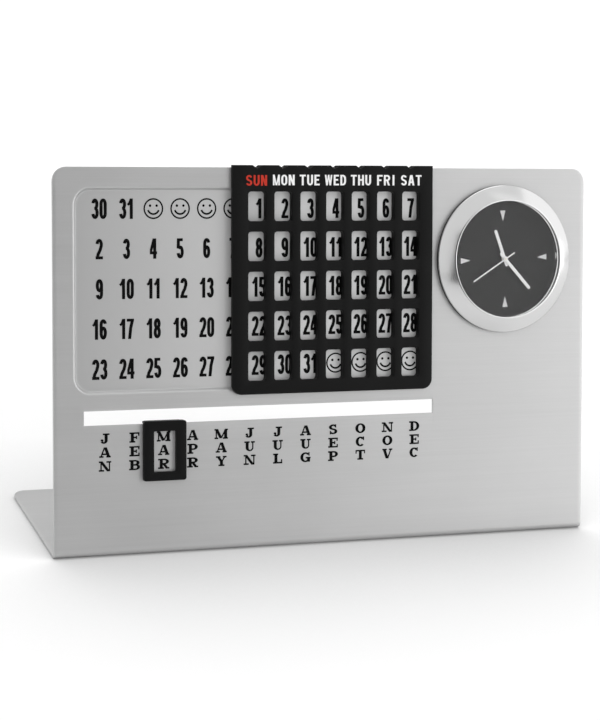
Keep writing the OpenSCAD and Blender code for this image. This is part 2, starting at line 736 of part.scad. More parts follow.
module minute_wheel()
    color("gold") at_clock() translate(minute_at) {
        gear(minute_wheel_teeth, motion_module, 180 + minute_dir, true, cannon_h, cannon_h + wheel_t);
        gear(minute_pinion_teeth, hour_module, 180 + minute_dir, false, cannon_h, motion_h + wheel_t + 0.05);
        disc(arbor_r, plate_h - plate_t, motion_h + wheel_t + 0.2);
    }

module cannon_pinion()
    color("goldenrod") at_clock() difference() {
        union() {
            gear(cannon_teeth, motion_module, minute_dir, false, cannon_h - 0.1, cannon_h + wheel_t + 0.1);
            disc(minute_pipe_r, centre_h + wheel_t, minute_hand_h + hand_t);
        }
        disc(minute_pipe_ri, centre_h, minute_hand_h + hand_t + cut);
    }

module centre_wheel()
    color("gold") at_clock() difference() {
        gear(centre_wheel_teeth, centre_module, third_dir, true, centre_h, centre_h + wheel_t);
        disc(minute_pipe_ri, centre_h - cut, centre_h + wheel_t + cut);
    }

module third_wheel()
    color("gold") at_clock() translate(third_at) {
        gear(third_wheel_teeth, third_module, 180 + third_dir, true, third_h, third_h + wheel_t);
        gear(leaf_teeth, centre_module, 180 + third_dir, false, third_h, centre_h + wheel_t + 0.1);
        disc(arbor_r, bridge_h - bridge_t, plate_h - 0.2);
    }

module second_wheel()
    color("gold") at_clock() {
        gear(second_wheel_teeth, second_module, inter_dir, true, second_h, second_h + wheel_t);
        gear(leaf_teeth, third_module, third_dir, false, second_h, third_h + wheel_t + 0.1);
        disc(second_arbor_r, bridge_h - bridge_t, second_hand_h + hand_t);
    }

module intermediate_wheel()
    color("gold") at_clock() translate(inter_at) {
        gear(intermediate_teeth, rotor_module, rotor_dir, true, third_h, third_h + wheel_t);
        gear(intermediate_leaves, second_module, 180 + inter_dir, false, second_h - 0.1, third_h + wheel_t);
        disc(arbor_r, bridge_h - bridge_t, plate_h - 0.2);
    }

module rotor()
    color("dimgray") at_clock() translate(rotor_at) {
        disc(magnet_r, magnet_h, magnet_h + magnet_t);
        gear(rotor_leaves, rotor_module, 180 + rotor_dir, false, magnet_h + magnet_t,
             third_h + wheel_t + 0.1);
        disc(arbor_r, bridge_h - bridge_t, plate_h - 0.2);
    }

// Clock: motor and electrics
module stator()
    color("slategray") at_clock() difference() {
        union() {
            arm0 = coil_at[0] - coil_len / 2 - 2;
            arm1 = coil_at[0] + coil_len / 2;
            top = coil_at[1] + core_w / 2;
            slab([arm0, 0.4], [0.2, 5.2], core_h, core_h + stator_t);
            slab([arm0, 0.4], [arm0 + 2, top], core_h, core_h + stator_t);
            slab([arm1, 3], [arm1 + 2, top], core_h, core_h + stator_t);
            slab([arm1 - cut, 3], [arm1 + 2, 5.2], core_h, core_h + stator_t);
        }
        translate(rotor_at) disc(magnet_r + 0.3, core_h - cut, core_h + stator_t + cut);
        translate(inter_at) disc(arbor_r + 0.3, core_h - cut, core_h + stator_t + cut);
        disc(1, core_h - cut, core_h + stator_t + cut);
    }

module coil()
    color("peru") at_clock() translate([coil_at[0], coil_at[1], core_h + stator_t]) {
        half = coil_len / 2;
        difference() {
            union() {
                slab([-half - 2, -core_w / 2], [half + 2, core_w / 2], 0, core_t);
                translate([-half + 0.6, 0, core_t / 2]) rotate([0, 90, 0])
                    cylinder(r = coil_r, h = coil_len - 1.2);
                for (x = [-half, half - 0.6])
                    translate([x, 0, core_t / 2]) rotate([0, 90, 0]) cylinder(r = coil_r + 0.2, h = 0.6);
            }
            slab([-half - 3, -3], [-half + 0.3, -core_w / 2 - 1.6], -3, 3);
        }
    }

module circuit_board()
    color("darkgreen") at_clock() difference() {
        union() {
            slab(board_s0, board_s0 + board_size, board_h, board_h + board_t);
            translate(board_s0 + [1.9, 7]) disc(1.6, board_h + board_t, board_h + board_t + 0.8);
        }
        translate(board_boss_at) disc(screw_r, board_h - cut, board_h + board_t + cut);
    }

module quartz_crystal()
    color("silver") at_clock() translate([board_s0[0] + 6.6, board_s0[1] + 2.2, board_h + board_t + 1])
        rotate([-90, 0, 0]) cylinder(r = 1, h = 6);

// A flat strip from the battery's front face to the board
module negative_contact()
    color("gold") at_clock() {
        strip_s = board_s0[0] + 0.8;
        slab([-2, battery_at[1] - strip_w / 2], [strip_s + strip_w, battery_at[1] + strip_w / 2],
             negative_h, negative_h + strip_t);
        slab([strip_s, battery_at[1]], [strip_s + strip_w, board_s0[1] + 1.4],
             negative_h, negative_h + strip_t);
        slab([strip_s, board_s0[1]], [strip_s + strip_w, board_s0[1] + 1.4],
             board_h + board_t, negative_h + strip_t);
    }

// A flat strip from the battery's back face to the back of the board
module positive_contact()
    color("gold") at_clock() {
        strip_s = board_s0[0] + 0.6;
        slab([-1, -10], [strip_s + strip_w, -10 + strip_w], positive_h, positive_h + strip_t);
        slab([strip_s, -10], [strip_s + strip_w, board_s0[1] + 2], positive_h, positive_h + strip_t);
        slab([strip_s, board_s0[1] + 0.6], [strip_s + strip_w, board_s0[1] + 2], positive_h, board_h);
    }

// Knob behind the cover, with a pinion that turns the minute wheel
module set_knob()
    color("#484848") at_clock() translate(knob_at) {
        back = -case_depth - cover_t - 0.15;
        gear(knob_teeth, motion_module, 180 + knob_dir, false, cannon_h - 0.1, cannon_h + wheel_t + 0.1);
        disc(knob_shaft_r, back - 0.2, cannon_h);
        difference() {
            disc(knob_r, back - knob_len, back);
            for (i = [0:11])
                rotate(30 * i) translate([knob_r, 0, 0]) disc(0.35, back - knob_len - cut, back + cut);
            slab([-2.2, -0.4], [2.2, 0.4], back - knob_len - cut, back - knob_len + 0.6);
        }
    }

stand_plate();
date_numbers();
month_names();
date_slide();
weekday_sunday();
weekday_names();
month_slide();
clock_bezel();
clock_lens();
clock_inner_ring();
clock_dial();
dial_marks();
hour_hand();
minute_hand();
second_hand();
clock_case();
retaining_ring();
main_plate();
train_bridge();
bridge_screws();
hour_wheel();
minute_wheel();
cannon_pinion();
centre_wheel();
third_wheel();
second_wheel();
intermediate_wheel();
rotor();
stator();
coil();
circuit_board();
quartz_crystal();
negative_contact();
positive_contact();
battery();
set_knob();
back_cover();
battery_hatch();
cover_screws();
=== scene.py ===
# %% [markdown]
# # A perpetual desk calendar
# The real thing is one sheet of brushed steel, bent into a leaning panel and a foot. Dates are printed
# in a pressed recess, a black slide with thirty-five windows picks the month's layout, a small slide
# picks the month, and a quartz clock sits in a hole on the right. The CAD holds every piece at its real
# size, so this file only gives the visible ones their true surfaces and all of them their finish.

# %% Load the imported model
import json
import math

import bmesh
import bpy
import numpy as np
from mathutils import Matrix, Vector
from mathutils.geometry import delaunay_2d_cdt


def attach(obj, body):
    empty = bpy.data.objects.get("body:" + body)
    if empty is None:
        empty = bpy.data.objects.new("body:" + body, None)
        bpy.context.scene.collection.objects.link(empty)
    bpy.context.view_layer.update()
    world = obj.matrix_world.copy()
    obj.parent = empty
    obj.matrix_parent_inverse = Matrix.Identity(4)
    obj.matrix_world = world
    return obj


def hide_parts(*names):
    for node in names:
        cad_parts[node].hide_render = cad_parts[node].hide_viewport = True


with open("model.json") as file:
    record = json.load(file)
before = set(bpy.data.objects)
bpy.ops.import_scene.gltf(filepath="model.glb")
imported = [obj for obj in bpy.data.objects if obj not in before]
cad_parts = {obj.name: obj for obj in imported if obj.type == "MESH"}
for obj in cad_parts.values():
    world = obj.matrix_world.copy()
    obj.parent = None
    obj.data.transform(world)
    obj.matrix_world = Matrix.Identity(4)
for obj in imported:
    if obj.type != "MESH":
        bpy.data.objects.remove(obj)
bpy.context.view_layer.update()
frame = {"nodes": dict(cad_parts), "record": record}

print("CAD pieces:", len(frame["nodes"]))

# %% [markdown]
# ## The camera
# The picture was taken from the left of the front and a little above, with a long lens, and then turned
# upright. Fitting the sheet's corners, the slot and the clock to the photograph gives the place, the
# three directions and the lens below. A camera matrix is those directions as columns, so it is written
# straight in, which is more exact than aiming with angles.

# %% Camera
camera_data = bpy.data.cameras.new("photo_camera")
camera_data.sensor_fit = "VERTICAL"
camera_data.sensor_height = 36
camera_data.lens = 123.25
camera = bpy.data.objects.new("photo_camera", camera_data)
bpy.context.scene.collection.objects.link(camera)
bpy.context.scene.camera = camera

rightwards = (0.91934827, -0.37265821, 0.12619279)
upwards = (0.02646745, 0.37858984, 0.92518604)
forwards = (0.39255349, 0.84722818, -0.35791923)
camera_place = (-0.32945, -0.69388, 0.34922)
columns = np.array([rightwards, upwards, np.negative(forwards), camera_place]).T
camera.matrix_world = Matrix(np.vstack([columns, [0, 0, 0, 1]]).tolist())
print("camera lens", camera_data.lens, "mm")

# %% [markdown]
# ## The panel's own ruler
# Everything on the calendar is laid out on its leaning face, so the pieces are drawn in millimetres on
# that face: s runs right from its left edge, t runs up the slope from the bend's corner line, and h
# stands out towards the viewer. One function turns such points into the frame's metres, for whole arrays.

# %% Sizes and the panel's frame
LEAN = math.radians(18.5)
PLATE_W, PANEL_H, FOOT_LEN, SHEET_T, BEND_R, CORNER_R = 191, 125, 50.6, 1, 1.8, 4.7
BEND_Y = BEND_R * (1 + math.sin(LEAN)) / math.cos(LEAN)
DEPTH_MID = (BEND_Y - BEND_R + FOOT_LEN) / 2
UP_SLOPE = np.array([0, math.sin(LEAN), math.cos(LEAN)])
OUTWARDS = np.array([0, -math.cos(LEAN), math.sin(LEAN)])


def on_panel(s, t, h):
    """Points of the frame, in metres: s along x, t along the slope and h along the face's normal."""
    s, t, h = (np.asarray(v, float)[..., None] for v in np.broadcast_arrays(s, t, h))
    start = np.array([-PLATE_W / 2, -DEPTH_MID, 0])
    return (start + s * np.array([1, 0, 0]) + t * UP_SLOPE + h * OUTWARDS) / 1000


FACE_PLANE = on_panel(0, 0, 0) @ OUTWARDS            # the face's distance from the origin, in metres
print("panel's top edge at", on_panel(0, PANEL_H, 0).round(4))

# %% [markdown]
# ## From arrays to a mesh
# Each new surface is a grid or a filled outline, so three small helpers serve them all: the quads of a
# grid, the wall that gives a flat shape its thickness, and the mesh itself. Shells are built with shared
# borders and sealed by merging points that coincide, after which the normals are turned outwards. Edges
# sharper than an angle stay crisp and all others are shaded smooth.

# %% Mesh helpers
def grid_quads(rows, columns, closed=False):
    """Corner numbers of the quads of a rows by columns grid. Closed joins its last column to its first."""
    index = np.arange(rows * columns).reshape(rows, columns)
    if closed:
        index = np.concatenate([index, index[:, :1]], 1)
    return np.stack([index[:-1, :-1], index[:-1, 1:], index[1:, 1:], index[1:, :-1]], -1).reshape(-1, 4)


def thickened(front, back, faces):
    """A closed shell from a front surface and its partner at the back: the faces, the same faces turned
    round at the back, and a quad along every edge that has no second face."""
    n = len(front)
    a, b = faces.ravel(), np.roll(faces, -1, 1).ravel()
    border = ~np.isin(a * n + b, b * n + a)
    walls = np.stack([b[border], a[border], a[border] + n, b[border] + n], -1)
    return np.concatenate([front, back]), [faces, faces[:, ::-1] + n, walls]


def joined(*shells):
    """Several shells as one: their points in a row, and their faces renumbered to match."""
    points, faces, start = [], [], 0
    for p, f in shells:
        points.append(p.reshape(-1, 3))
        faces += [g + start for g in f]
        start += len(points[-1])
    return np.concatenate(points), faces


def piece(name, shell, body, finish, stands_for=(), sharp=32, bevel=None):
    """A mesh object of the shell, sealed, with outward normals, riding on a body of the frame."""
    points, faces = shell
    mesh = bpy.data.meshes.new(name)
    mesh.from_pydata(points.reshape(-1, 3).tolist(), [], [q for f in faces for q in f.tolist()])
    work = bmesh.new()
    work.from_mesh(mesh)
    bmesh.ops.remove_doubles(work, verts=work.verts, dist=1e-6)
    bmesh.ops.recalc_face_normals(work, faces=work.faces)
    if bevel:
        edges = [e for e in work.edges if e.is_manifold and e.calc_face_angle() > math.radians(50)]
        bmesh.ops.bevel(work, geom=edges, offset=bevel / 1000, segments=2, profile=0.5,
                        affect="EDGES", clamp_overlap=True)
    work.to_mesh(mesh)
    open_edges = sum(not e.is_manifold for e in work.edges)
    work.free()
    mesh.shade_smooth()
    mesh.set_sharp_from_angle(angle=math.radians(sharp))
    mesh.materials.append(finish)
    made = bpy.data.objects.new(name, mesh)
    bpy.context.scene.collection.objects.link(made)
    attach(made, body)
    if stands_for:
        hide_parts(*stands_for)
    print(f"{name}: {len(mesh.polygons)} faces, {open_edges} open edges")
    return made


# %% [markdown]
# ## Shader maths as plain expressions
# A finish is a sum of simple patterns, so a small class wraps a node's output and gives it the ordinary
# operators: writing `0.4 + 0.1 * grain` adds the Math nodes. Colours are mixed by a Mix node, since a
# Math node would turn them grey. Any other node comes from one method that takes its type, its settings
# and what feeds its sockets.

# %% Values and finishes
class Value:
    """One output of a node, which plain expressions turn into Math nodes."""

    def __init__(self, finish, socket):
        self.finish, self.socket = finish, socket

    def math(self, operation, *values):
        return self.finish.node("Math", dict(enumerate(values)), operation=operation)

    def __add__(self, other):
        return self.math("ADD", self, other)

    def __sub__(self, other):
        return self.math("SUBTRACT", self, other)

    def __rsub__(self, other):
        return self.math("SUBTRACT", other, self)

    def __mul__(self, other):
        return self.math("MULTIPLY", self, other)

    __radd__, __rmul__ = __add__, __mul__

    def between(self, low, high):
        """0 below low, 1 above high, and a straight line between."""
        return self.finish.node("MapRange", {0: self, 1: low, 2: high, 3: 0.0, 4: 1.0}, clamp=True)


class Finish:
    """A material, or the world, whose nodes are added by methods."""

    def __init__(self, name, tree=None):
        if tree is None:
            self.material = bpy.data.materials.new(name)
            self.material.use_nodes = True
            tree = self.material.node_tree
        self.tree = tree
        self.shader = next((n for n in tree.nodes if n.type == "BSDF_PRINCIPLED"), None)
        self.output = next(n for n in tree.nodes if n.type.startswith("OUTPUT"))

    def node(self, kind, sockets=None, out=0, **settings):
        """Any node: its settings first, a ramp's stops among them, and then its sockets."""
        made = self.tree.nodes.new("ShaderNode" + kind)
        for key, value in settings.items():
            if key == "stops":
                for i, (at, shade) in enumerate(value):
                    stop = made.color_ramp.elements[i] if i < 2 else made.color_ramp.elements.new(at)
                    stop.position, stop.color = at, (shade, shade, shade, 1)
            else:
                setattr(made, key, value)
        for key, value in (sockets or {}).items():
            self.feed(made.inputs[key], value)
        return Value(self, made.outputs[out])

    def feed(self, socket, value):
        if isinstance(value, Value):
            self.tree.links.new(value.socket, socket)
        else:
            socket.default_value = value

    def mix(self, factor, first, second):
        """Two colours, mixed by a factor from 0 to 1."""
        return self.node("Mix", {0: factor, 6: first, 7: second}, out=2, data_type="RGBA")

    def noise(self, stretch, detail=2.0, roughness=0.5, at="Object"):
        """Noise of about stretch features per metre along x, y and z."""
        place = self.node("TexCoord", out=at)
        spread = self.node("Mapping", {0: place, 3: stretch})
        return self.node("TexNoise", {"Vector": spread, "Scale": 1.0, "Detail": detail,
                                      "Roughness": roughness})

    def bump(self, height, micrometres):
        """A normal that tilts as if the height, from 0 to 1, were so many micrometres of relief."""
        return self.node("Bump", {"Height": height, "Strength": 1.0, "Distance": micrometres * 1e-6})

    def surface(self, **sockets):
        for name, value in sockets.items():
            self.feed(self.shader.inputs[name.replace("_", " ")], value)
        return self.material


def grey(value):
    return (value, value, value, 1)


# %% [markdown]
# ## Brushed steel
# The sheet was brushed along its length before it was bent: hair-fine scratches tens of millimetres long
# and a tenth of a millimetre apart, some a little deeper, with faint clouds where a cloth has passed.
# Noise stretched a hundred times along x gives such scratches on every face of the sheet at once, because
# the grain always runs along the bend. It moves the colour a little, the roughness more, and tilts the
# normal by a few micrometres of relief. The recess's floor is less metallic than the rest, and its colour
# has painted light in it: it is made paler, and paler still towards the right, to lift the shade that the
# slide's window walls cast on it and to stand in for the light of the softboxes on the right. The height
# over the face finds it.

# %% Brushed steel
def brushed_steel():
    steel = Finish("brushed_steel")
    hair = steel.noise((45, 7000, 7000), detail=3.0, roughness=0.6)
    scratch = steel.noise((14, 1300, 1300)).between(0.35, 0.65)
    cloud = steel.noise((22, 34, 34), detail=4.0)
    shade = 0.4 * hair + 0.1 * scratch + 0.5 * cloud
    place = steel.node("TexCoord", out="Object")
    height = steel.node("VectorMath", {0: place, 1: tuple(OUTWARDS)}, out="Value",
                        operation="DOT_PRODUCT") - FACE_PLANE
    pressed = height.between(-0.0016, -0.0014) - height.between(-0.00128, -0.0011)
    sheet_colour = steel.mix(shade.between(0.3, 0.7), grey(0.5), grey(0.56))
    # Painted light: the recess floor's colour is paler than the sheet's and grows paler to the right, lifting
    # the shade under the slide's windows and adding the light from the right
    across = steel.node("SeparateXYZ", {0: place}, out="X").between(-0.088, 0.035)
    recess_painted_light = steel.node("ValToRGB", {0: across},
                                stops=[(0, 0.43), (0.42, 0.55), (0.62, 0.72), (1, 0.68)])
    return steel.surface(
        Base_Color=steel.mix(pressed, sheet_colour, recess_painted_light),
        Roughness=0.42 + 0.08 * hair + 0.02 * scratch + 0.05 * cloud,
        Metallic=0.78 - 0.48 * pressed,
        Normal=steel.bump(hair + 0.3 * scratch, 1.5))


steel_finish = brushed_steel()
print("finish:", steel_finish.name)

# %% [markdown]
# ## The bent sheet
# The sheet is one surface of two parameters: s across it, and u along its developed length, from the
# foot's back edge round the bend and up the panel. The recess is pressed into it with soft lips, the
# slot and the clock's hole are cut out, and the four corners are round. It could be bent and punched from
# a box with modifiers, but then the lips would be hard steps. Here the height is a formula of the
# distance to the recess's outline, so the lips come out as smooth as pressed metal.

# %% The sheet's path and its recess
BEND_TURN = math.pi / 2 + LEAN                      # how far the sheet turns in the bend
PANEL_FROM = BEND_Y                                 # where the panel's flat part starts
FOOT_FROM = PANEL_FROM - BEND_R * BEND_TURN         # where the foot's flat part starts
FOOT_END = FOOT_FROM - (FOOT_LEN - BEND_Y)
RECESS = (7.74, 53.5, 131.99, 117.7)                # left, bottom, right, top
RECESS_R, RECESS_DEPTH = 5, 1.3
LIP = ((-0.9, -1.3), (-0.05, -1.22), (0.3, -0.62), (0.65, -0.16), (1.05, 0))  # distance out, height
LIP_SOFT = 0.12                                     # its corners are rounded over this far either way
SLOT = (10.03, 42.66, 133.63, 47.33)
CLOCK_S, CLOCK_T, HOLE_R = 159.7, 94.4, 22.3


def sheet_path(u):
    """Place (y, z) and outward direction of the sheet's outer face at developed length u: a point on the
    bend's circle, moved straight on up the slope past its top, or straight back past its bottom."""
    turn = math.pi - LEAN + np.clip((PANEL_FROM - u) / BEND_R, 0, BEND_TURN)
    out = np.stack([np.cos(turn), np.sin(turn)], -1)
    place = np.array([BEND_Y, BEND_R]) + BEND_R * out
    place = place + np.maximum(u - PANEL_FROM, 0)[..., None] * np.array([math.sin(LEAN), math.cos(LEAN)])
    place = place + np.maximum(FOOT_FROM - u, 0)[..., None] * np.array([1, 0])
    return place, out


def recess_height(s, t):
    """Height of the face: minus the recess's depth inside a round-cornered rectangle, rising to 0 across
    its outline by the lip's profile. The distance is that of a rectangle shrunk by the radius, less the
    radius, and each height is the mean of the profile over a small stretch, which rounds its corners."""
    s0, t0, s1, t1 = RECESS
    dx = np.abs(s - (s0 + s1) / 2) - (s1 - s0) / 2 + RECESS_R
    dy = np.abs(t - (t0 + t1) / 2) - (t1 - t0) / 2 + RECESS_R
    outside = np.hypot(np.maximum(dx, 0), np.maximum(dy, 0)) + np.minimum(np.maximum(dx, dy), 0) - RECESS_R
    near = outside[..., None] + LIP_SOFT * np.linspace(-1, 1, 5)
    return np.interp(near, *np.transpose(LIP)).mean(-1)


# %% Grid lines, corners and the clock's hole
FINE = 0.15                                         # spacing of the grid lines on the recess's lips
LIPS_ACROSS = (5.2, 13, 127, 134.4)                 # s where the left and the right lip start and end
LIPS_ALONG = (51, 58.8, 112.4, 120.2)               # t where the lower and the upper lip start and end
CORNER_BAND = 5.8                                   # how far in the round corners move the grid
HOLE_SQUARE, HOLE_RING = 16.5, 25.5                 # half sides of the ring of grid round the hole


def lines(*spans):
    """Sorted grid lines: each span is (from, to, step)."""
    runs = [np.linspace(a, b, max(2, round((b - a) / step) + 1)) for a, b, step in spans]
    return np.unique(np.concatenate(runs).round(4))


def round_corners(s, u):
    """s moved in from the sides near the four corners, by the gap between a square and its round corner."""
    reach = np.maximum(CORNER_R - np.minimum(u - FOOT_END, PANEL_H - u), 0)
    gap = CORNER_R - np.sqrt(CORNER_R ** 2 - reach ** 2)
    left = np.clip(1 - s / CORNER_BAND, 0, 1)
    right = np.clip(1 - (PLATE_W - s) / CORNER_BAND, 0, 1)
    return s + gap * (left - right)


def round_hole(s, u):
    """A square ring of the grid round the clock, turned into a ring with a round hole: each point is
    mixed between its own place and the same bearing on the circle, by how near the hole it lies."""
    x, y = s - CLOCK_S, u - CLOCK_T
    square = np.maximum(np.abs(x), np.abs(y))
    share = np.clip((HOLE_RING - square) / (HOLE_RING - HOLE_SQUARE), 0, 1)
    radius = np.maximum(np.hypot(x, y), 1e-9)
    spread = np.where(share > 0, HOLE_RING / np.maximum(square, 1e-9), 1)
    return (CLOCK_S + np.where(share > 0, (1 - share) * x * spread + share * x / radius * HOLE_R, x),
            CLOCK_T + np.where(share > 0, (1 - share) * y * spread + share * y / radius * HOLE_R, y))


# %% The sheet
def steel_sheet():
    """Both faces of the sheet on one grid of s and u, without the cells of the slot and the hole."""
    s1, s2, s3, s4 = LIPS_ACROSS
    t1, t2, t3, t4 = LIPS_ALONG
    across = lines((0, s1, 1.3), (s1, s2, FINE), (s2, s3, 6), (s3, s4, FINE),
                   (s4, PLATE_W - CORNER_BAND, 3), (PLATE_W - CORNER_BAND, PLATE_W, 1.45),
                   (SLOT[0], SLOT[2], PLATE_W))
    corner = CORNER_R * (1 - np.sin(np.radians(np.arange(0, 91, 9))))
    along = np.unique(np.concatenate([
        FOOT_END + corner, PANEL_H - corner,
        lines((FOOT_END + CORNER_R, FOOT_FROM, 6), (FOOT_FROM, PANEL_FROM, 0.28), (PANEL_FROM, SLOT[1], 5),
              (SLOT[1], SLOT[3], 2.4), (SLOT[3], t1, 2), (t1, t2, FINE), (t2, t3, 4),
              (CLOCK_T - HOLE_RING, CLOCK_T + HOLE_RING, 3), (t3, t4, FINE))]).round(4))
    u, s = np.meshgrid(along, across, indexing="ij")
    mid_s, mid_u = (s[:-1, :-1] + s[1:, 1:]) / 2, (u[:-1, :-1] + u[1:, 1:]) / 2
    slot = (mid_s > SLOT[0]) & (mid_s < SLOT[2]) & (mid_u > SLOT[1]) & (mid_u < SLOT[3])
    hole = (np.abs(mid_s - CLOCK_S) < HOLE_SQUARE) & (np.abs(mid_u - CLOCK_T) < HOLE_SQUARE)
    quads = grid_quads(*s.shape)[~(slot | hole).ravel()]
    place_s, place_u = round_hole(s, u)
    place_s = round_corners(place_s, place_u)
    (yz, out), h = sheet_path(place_u), recess_height(place_s, place_u)
    faces = []
    for level in (h, h - SHEET_T):
        at = yz + level[..., None] * out
        faces.append(np.stack([place_s - PLATE_W / 2, at[..., 0] - DEPTH_MID, at[..., 1]], -1) / 1000)
    return thickened(faces[0].reshape(-1, 3), faces[1].reshape(-1, 3), quads)


piece("steel_sheet", steel_sheet(), "stand", steel_finish, ["stand_plate"], sharp=40, bevel=0.12)

# %% [markdown]
# ## Filled outlines
# Numbers, letters, clock hands and the slide's face are flat shapes with holes. A constrained Delaunay
# triangulation fills them: it takes the outlines as fixed edges, and each triangle is kept if its middle
# lies inside. That gives few faces and exact edges, where a fine grid would give many and a ragged edge.

# %% Fill between outlines
def triangulated(loops):
    """Points and triangles of the plane, with every closed loop's sides as edges."""
    points = np.concatenate(loops)
    ends = np.cumsum([len(loop) for loop in loops])
    following = np.arange(1, len(points) + 1)
    following[ends - 1] = ends - [len(loop) for loop in loops]
    sides = np.stack([np.arange(len(points)), following], -1)
    made = delaunay_2d_cdt([Vector(p) for p in points.tolist()], sides.tolist(), [], 0, 1e-5)
    return np.array([tuple(v) for v in made[0]]), np.array([f for f in made[2] if len(f) == 3])


def in_odd(points, loops):
    """True for the points inside an odd number of loops: a ray to the right crosses their sides an odd
    number of times."""
    a = np.concatenate(loops)
    b = np.concatenate([np.roll(loop, -1, 0) for loop in loops])
    x, y = points[:, :1], points[:, 1:]
    spans = (a[:, 1] > y) != (b[:, 1] > y)
    rise = np.where(b[:, 1] == a[:, 1], 1, b[:, 1] - a[:, 1])
    crossing = a[:, 0] + (y - a[:, 1]) * (b[:, 0] - a[:, 0]) / rise
    return (spans & (crossing > x)).sum(1) % 2 == 1


def filled(loops):
    """Triangles of the region inside an odd number of loops."""
    points, triangles = triangulated(loops)
    return points, triangles[in_odd(points[triangles].mean(1), loops)]


def rounded_rectangle(s0, t0, s1, t1, r, n=6):
    """Outline of a rectangle whose corners are quarter circles, counterclockwise."""
    turn = np.radians(np.linspace(0, 90, n + 1))[None] + np.radians([-90, 0, 90, 180])[:, None]
    middle = np.array([(s1 - r, t0 + r), (s1 - r, t1 - r), (s0 + r, t1 - r), (s0 + r, t0 + r)])
    return (middle[:, None] + r * np.stack([np.cos(turn), np.sin(turn)], -1)).reshape(-1, 2)


def plate(loops, h0, h1):
    """A flat shape between heights h0 and h1 on the panel."""
    points, triangles = filled(loops)
    front, back = (on_panel(points[:, 0], points[:, 1], h) for h in (h1, h0))
    return thickened(front, back, triangles)


sample = filled([rounded_rectangle(0, 0, 9, 9, 2), rounded_rectangle(2, 2, 7, 7, 1)])
print("a filled frame has", len(sample[1]), "triangles")

# %% [markdown]
# ## Printed characters
# The dates are printed in a bold condensed grotesque, the weekdays in a narrow bold sans and the months
# in a bold slab serif. None is copied from a font file: each character is a few strokes of a pen that is
# wide for upright lines and narrow for level ones, as in a real face. The strokes' ribbons go to the same
# triangulation, and a triangle stays if it lies on a ribbon and inside the character's box, which also
# cuts slanted ends level.

# %% Pen strokes
def arc(x, y, rx, ry, start, end):
    """Points of an ellipse from one angle to another, in degrees, about one to every 15."""
    turn = np.radians(np.linspace(start, end, max(3, round(abs(end - start) / 15) + 1)))
    return np.stack([x + rx * np.cos(turn), y + ry * np.sin(turn)], -1)


def curve(*parts):
    """A stroke through points and arcs with the whole pen."""
    return (path(*parts),)


def path(*parts):
    """One line through points and arcs, without doubled points."""
    points = np.concatenate([np.atleast_2d(np.asarray(p, float)) for p in parts])
    keep = np.append(True, np.hypot(*np.diff(points, axis=0).T) > 1e-6)
    return points[keep]


def ribbon(points, pen):
    """Left and right side of a stroke: each point moved by half the pen, across the mean direction of its
    two sides, and further at a corner so that the ribbon keeps its width."""
    ahead = np.diff(points, axis=0)
    ahead /= np.hypot(*ahead.T)[:, None]
    closed = np.hypot(*(points[0] - points[-1])) < 1e-6
    before = np.vstack([ahead[-1:] if closed else ahead[:1], ahead])
    after = np.vstack([ahead, ahead[:1] if closed else ahead[-1:]])
    mean = before + after
    mean /= np.maximum(np.hypot(*mean.T), 1e-9)[:, None]
    stretch = 1 / np.maximum((mean * after).sum(1), 0.5)
    across = np.stack([-mean[:, 1] * pen[0], mean[:, 0] * pen[1]], -1) / 2 * stretch[:, None]
    return points + across, points - across


def inked(strokes, size):
    """Triangles of a character: strokes are (points, pen) in millimetres, and size is its box."""
    sides = [ribbon(points, pen) for points, pen in strokes]
    box = np.array([(-1, -1), (1, -1), (1, 1), (-1, 1)]) * np.array(size) / 2
    loops = [np.concatenate([left, right[::-1]]) for left, right in sides] + [box]
    points, triangles = triangulated(loops)
    middle = points[triangles].mean(1)
    covers = np.concatenate([np.stack(corners, 1) for l, r in sides for corners in (
        (l[:-1], l[1:], r[1:]), (l[:-1], l[1:], r[:-1]), (r[:-1], r[1:], l[:-1]), (r[:-1], r[1:], l[1:]))])
    edge = np.roll(covers, -1, 1) - covers
    to = middle[:, None, None] - covers[None]
    turn = edge[..., 0] * to[..., 1] - edge[..., 1] * to[..., 0]
    on_ribbon = ((turn >= -1e-9).all(-1) | (turn <= 1e-9).all(-1)).any(-1)
    in_box = (np.abs(middle) <= np.array(size) / 2).all(-1)
    triangles = triangles[on_ribbon & in_box]
    used = np.unique(triangles)
    number = np.zeros(len(points), int)
    number[used] = np.arange(len(used))
    return points[used], number[triangles]


# %% [markdown]
# The alphabets. Coordinates are those of the pen's middle: 1 is where it runs along the inside of the
# box, and strokes that go past it are cut off level with the box. A stroke is its points and, where the
# pen is thinner, the factors of the pen's width and height.

# %% The date numerals and the weekday letters
def line(x0, y0, x1, y1, *pen):
    """A straight stroke, with a thinner pen where one is given."""
    return (path((x0, y0), (x1, y1)), *pen)


def level(y, *spans):
    """Bars and serifs: level strokes at height y, each from one x to another."""
    return [line(a, y, b, y) for a, b in spans]


def ring(x, y, rx, ry):
    return arc(x, y, rx, ry, 0, 360)


def oval(y, ry):
    """A narrow O: two half ellipses joined by straight sides."""
    return path(arc(0, y, 1, ry, 180, 0), arc(0, -y, 1, ry, 0, -180), (-1, y))


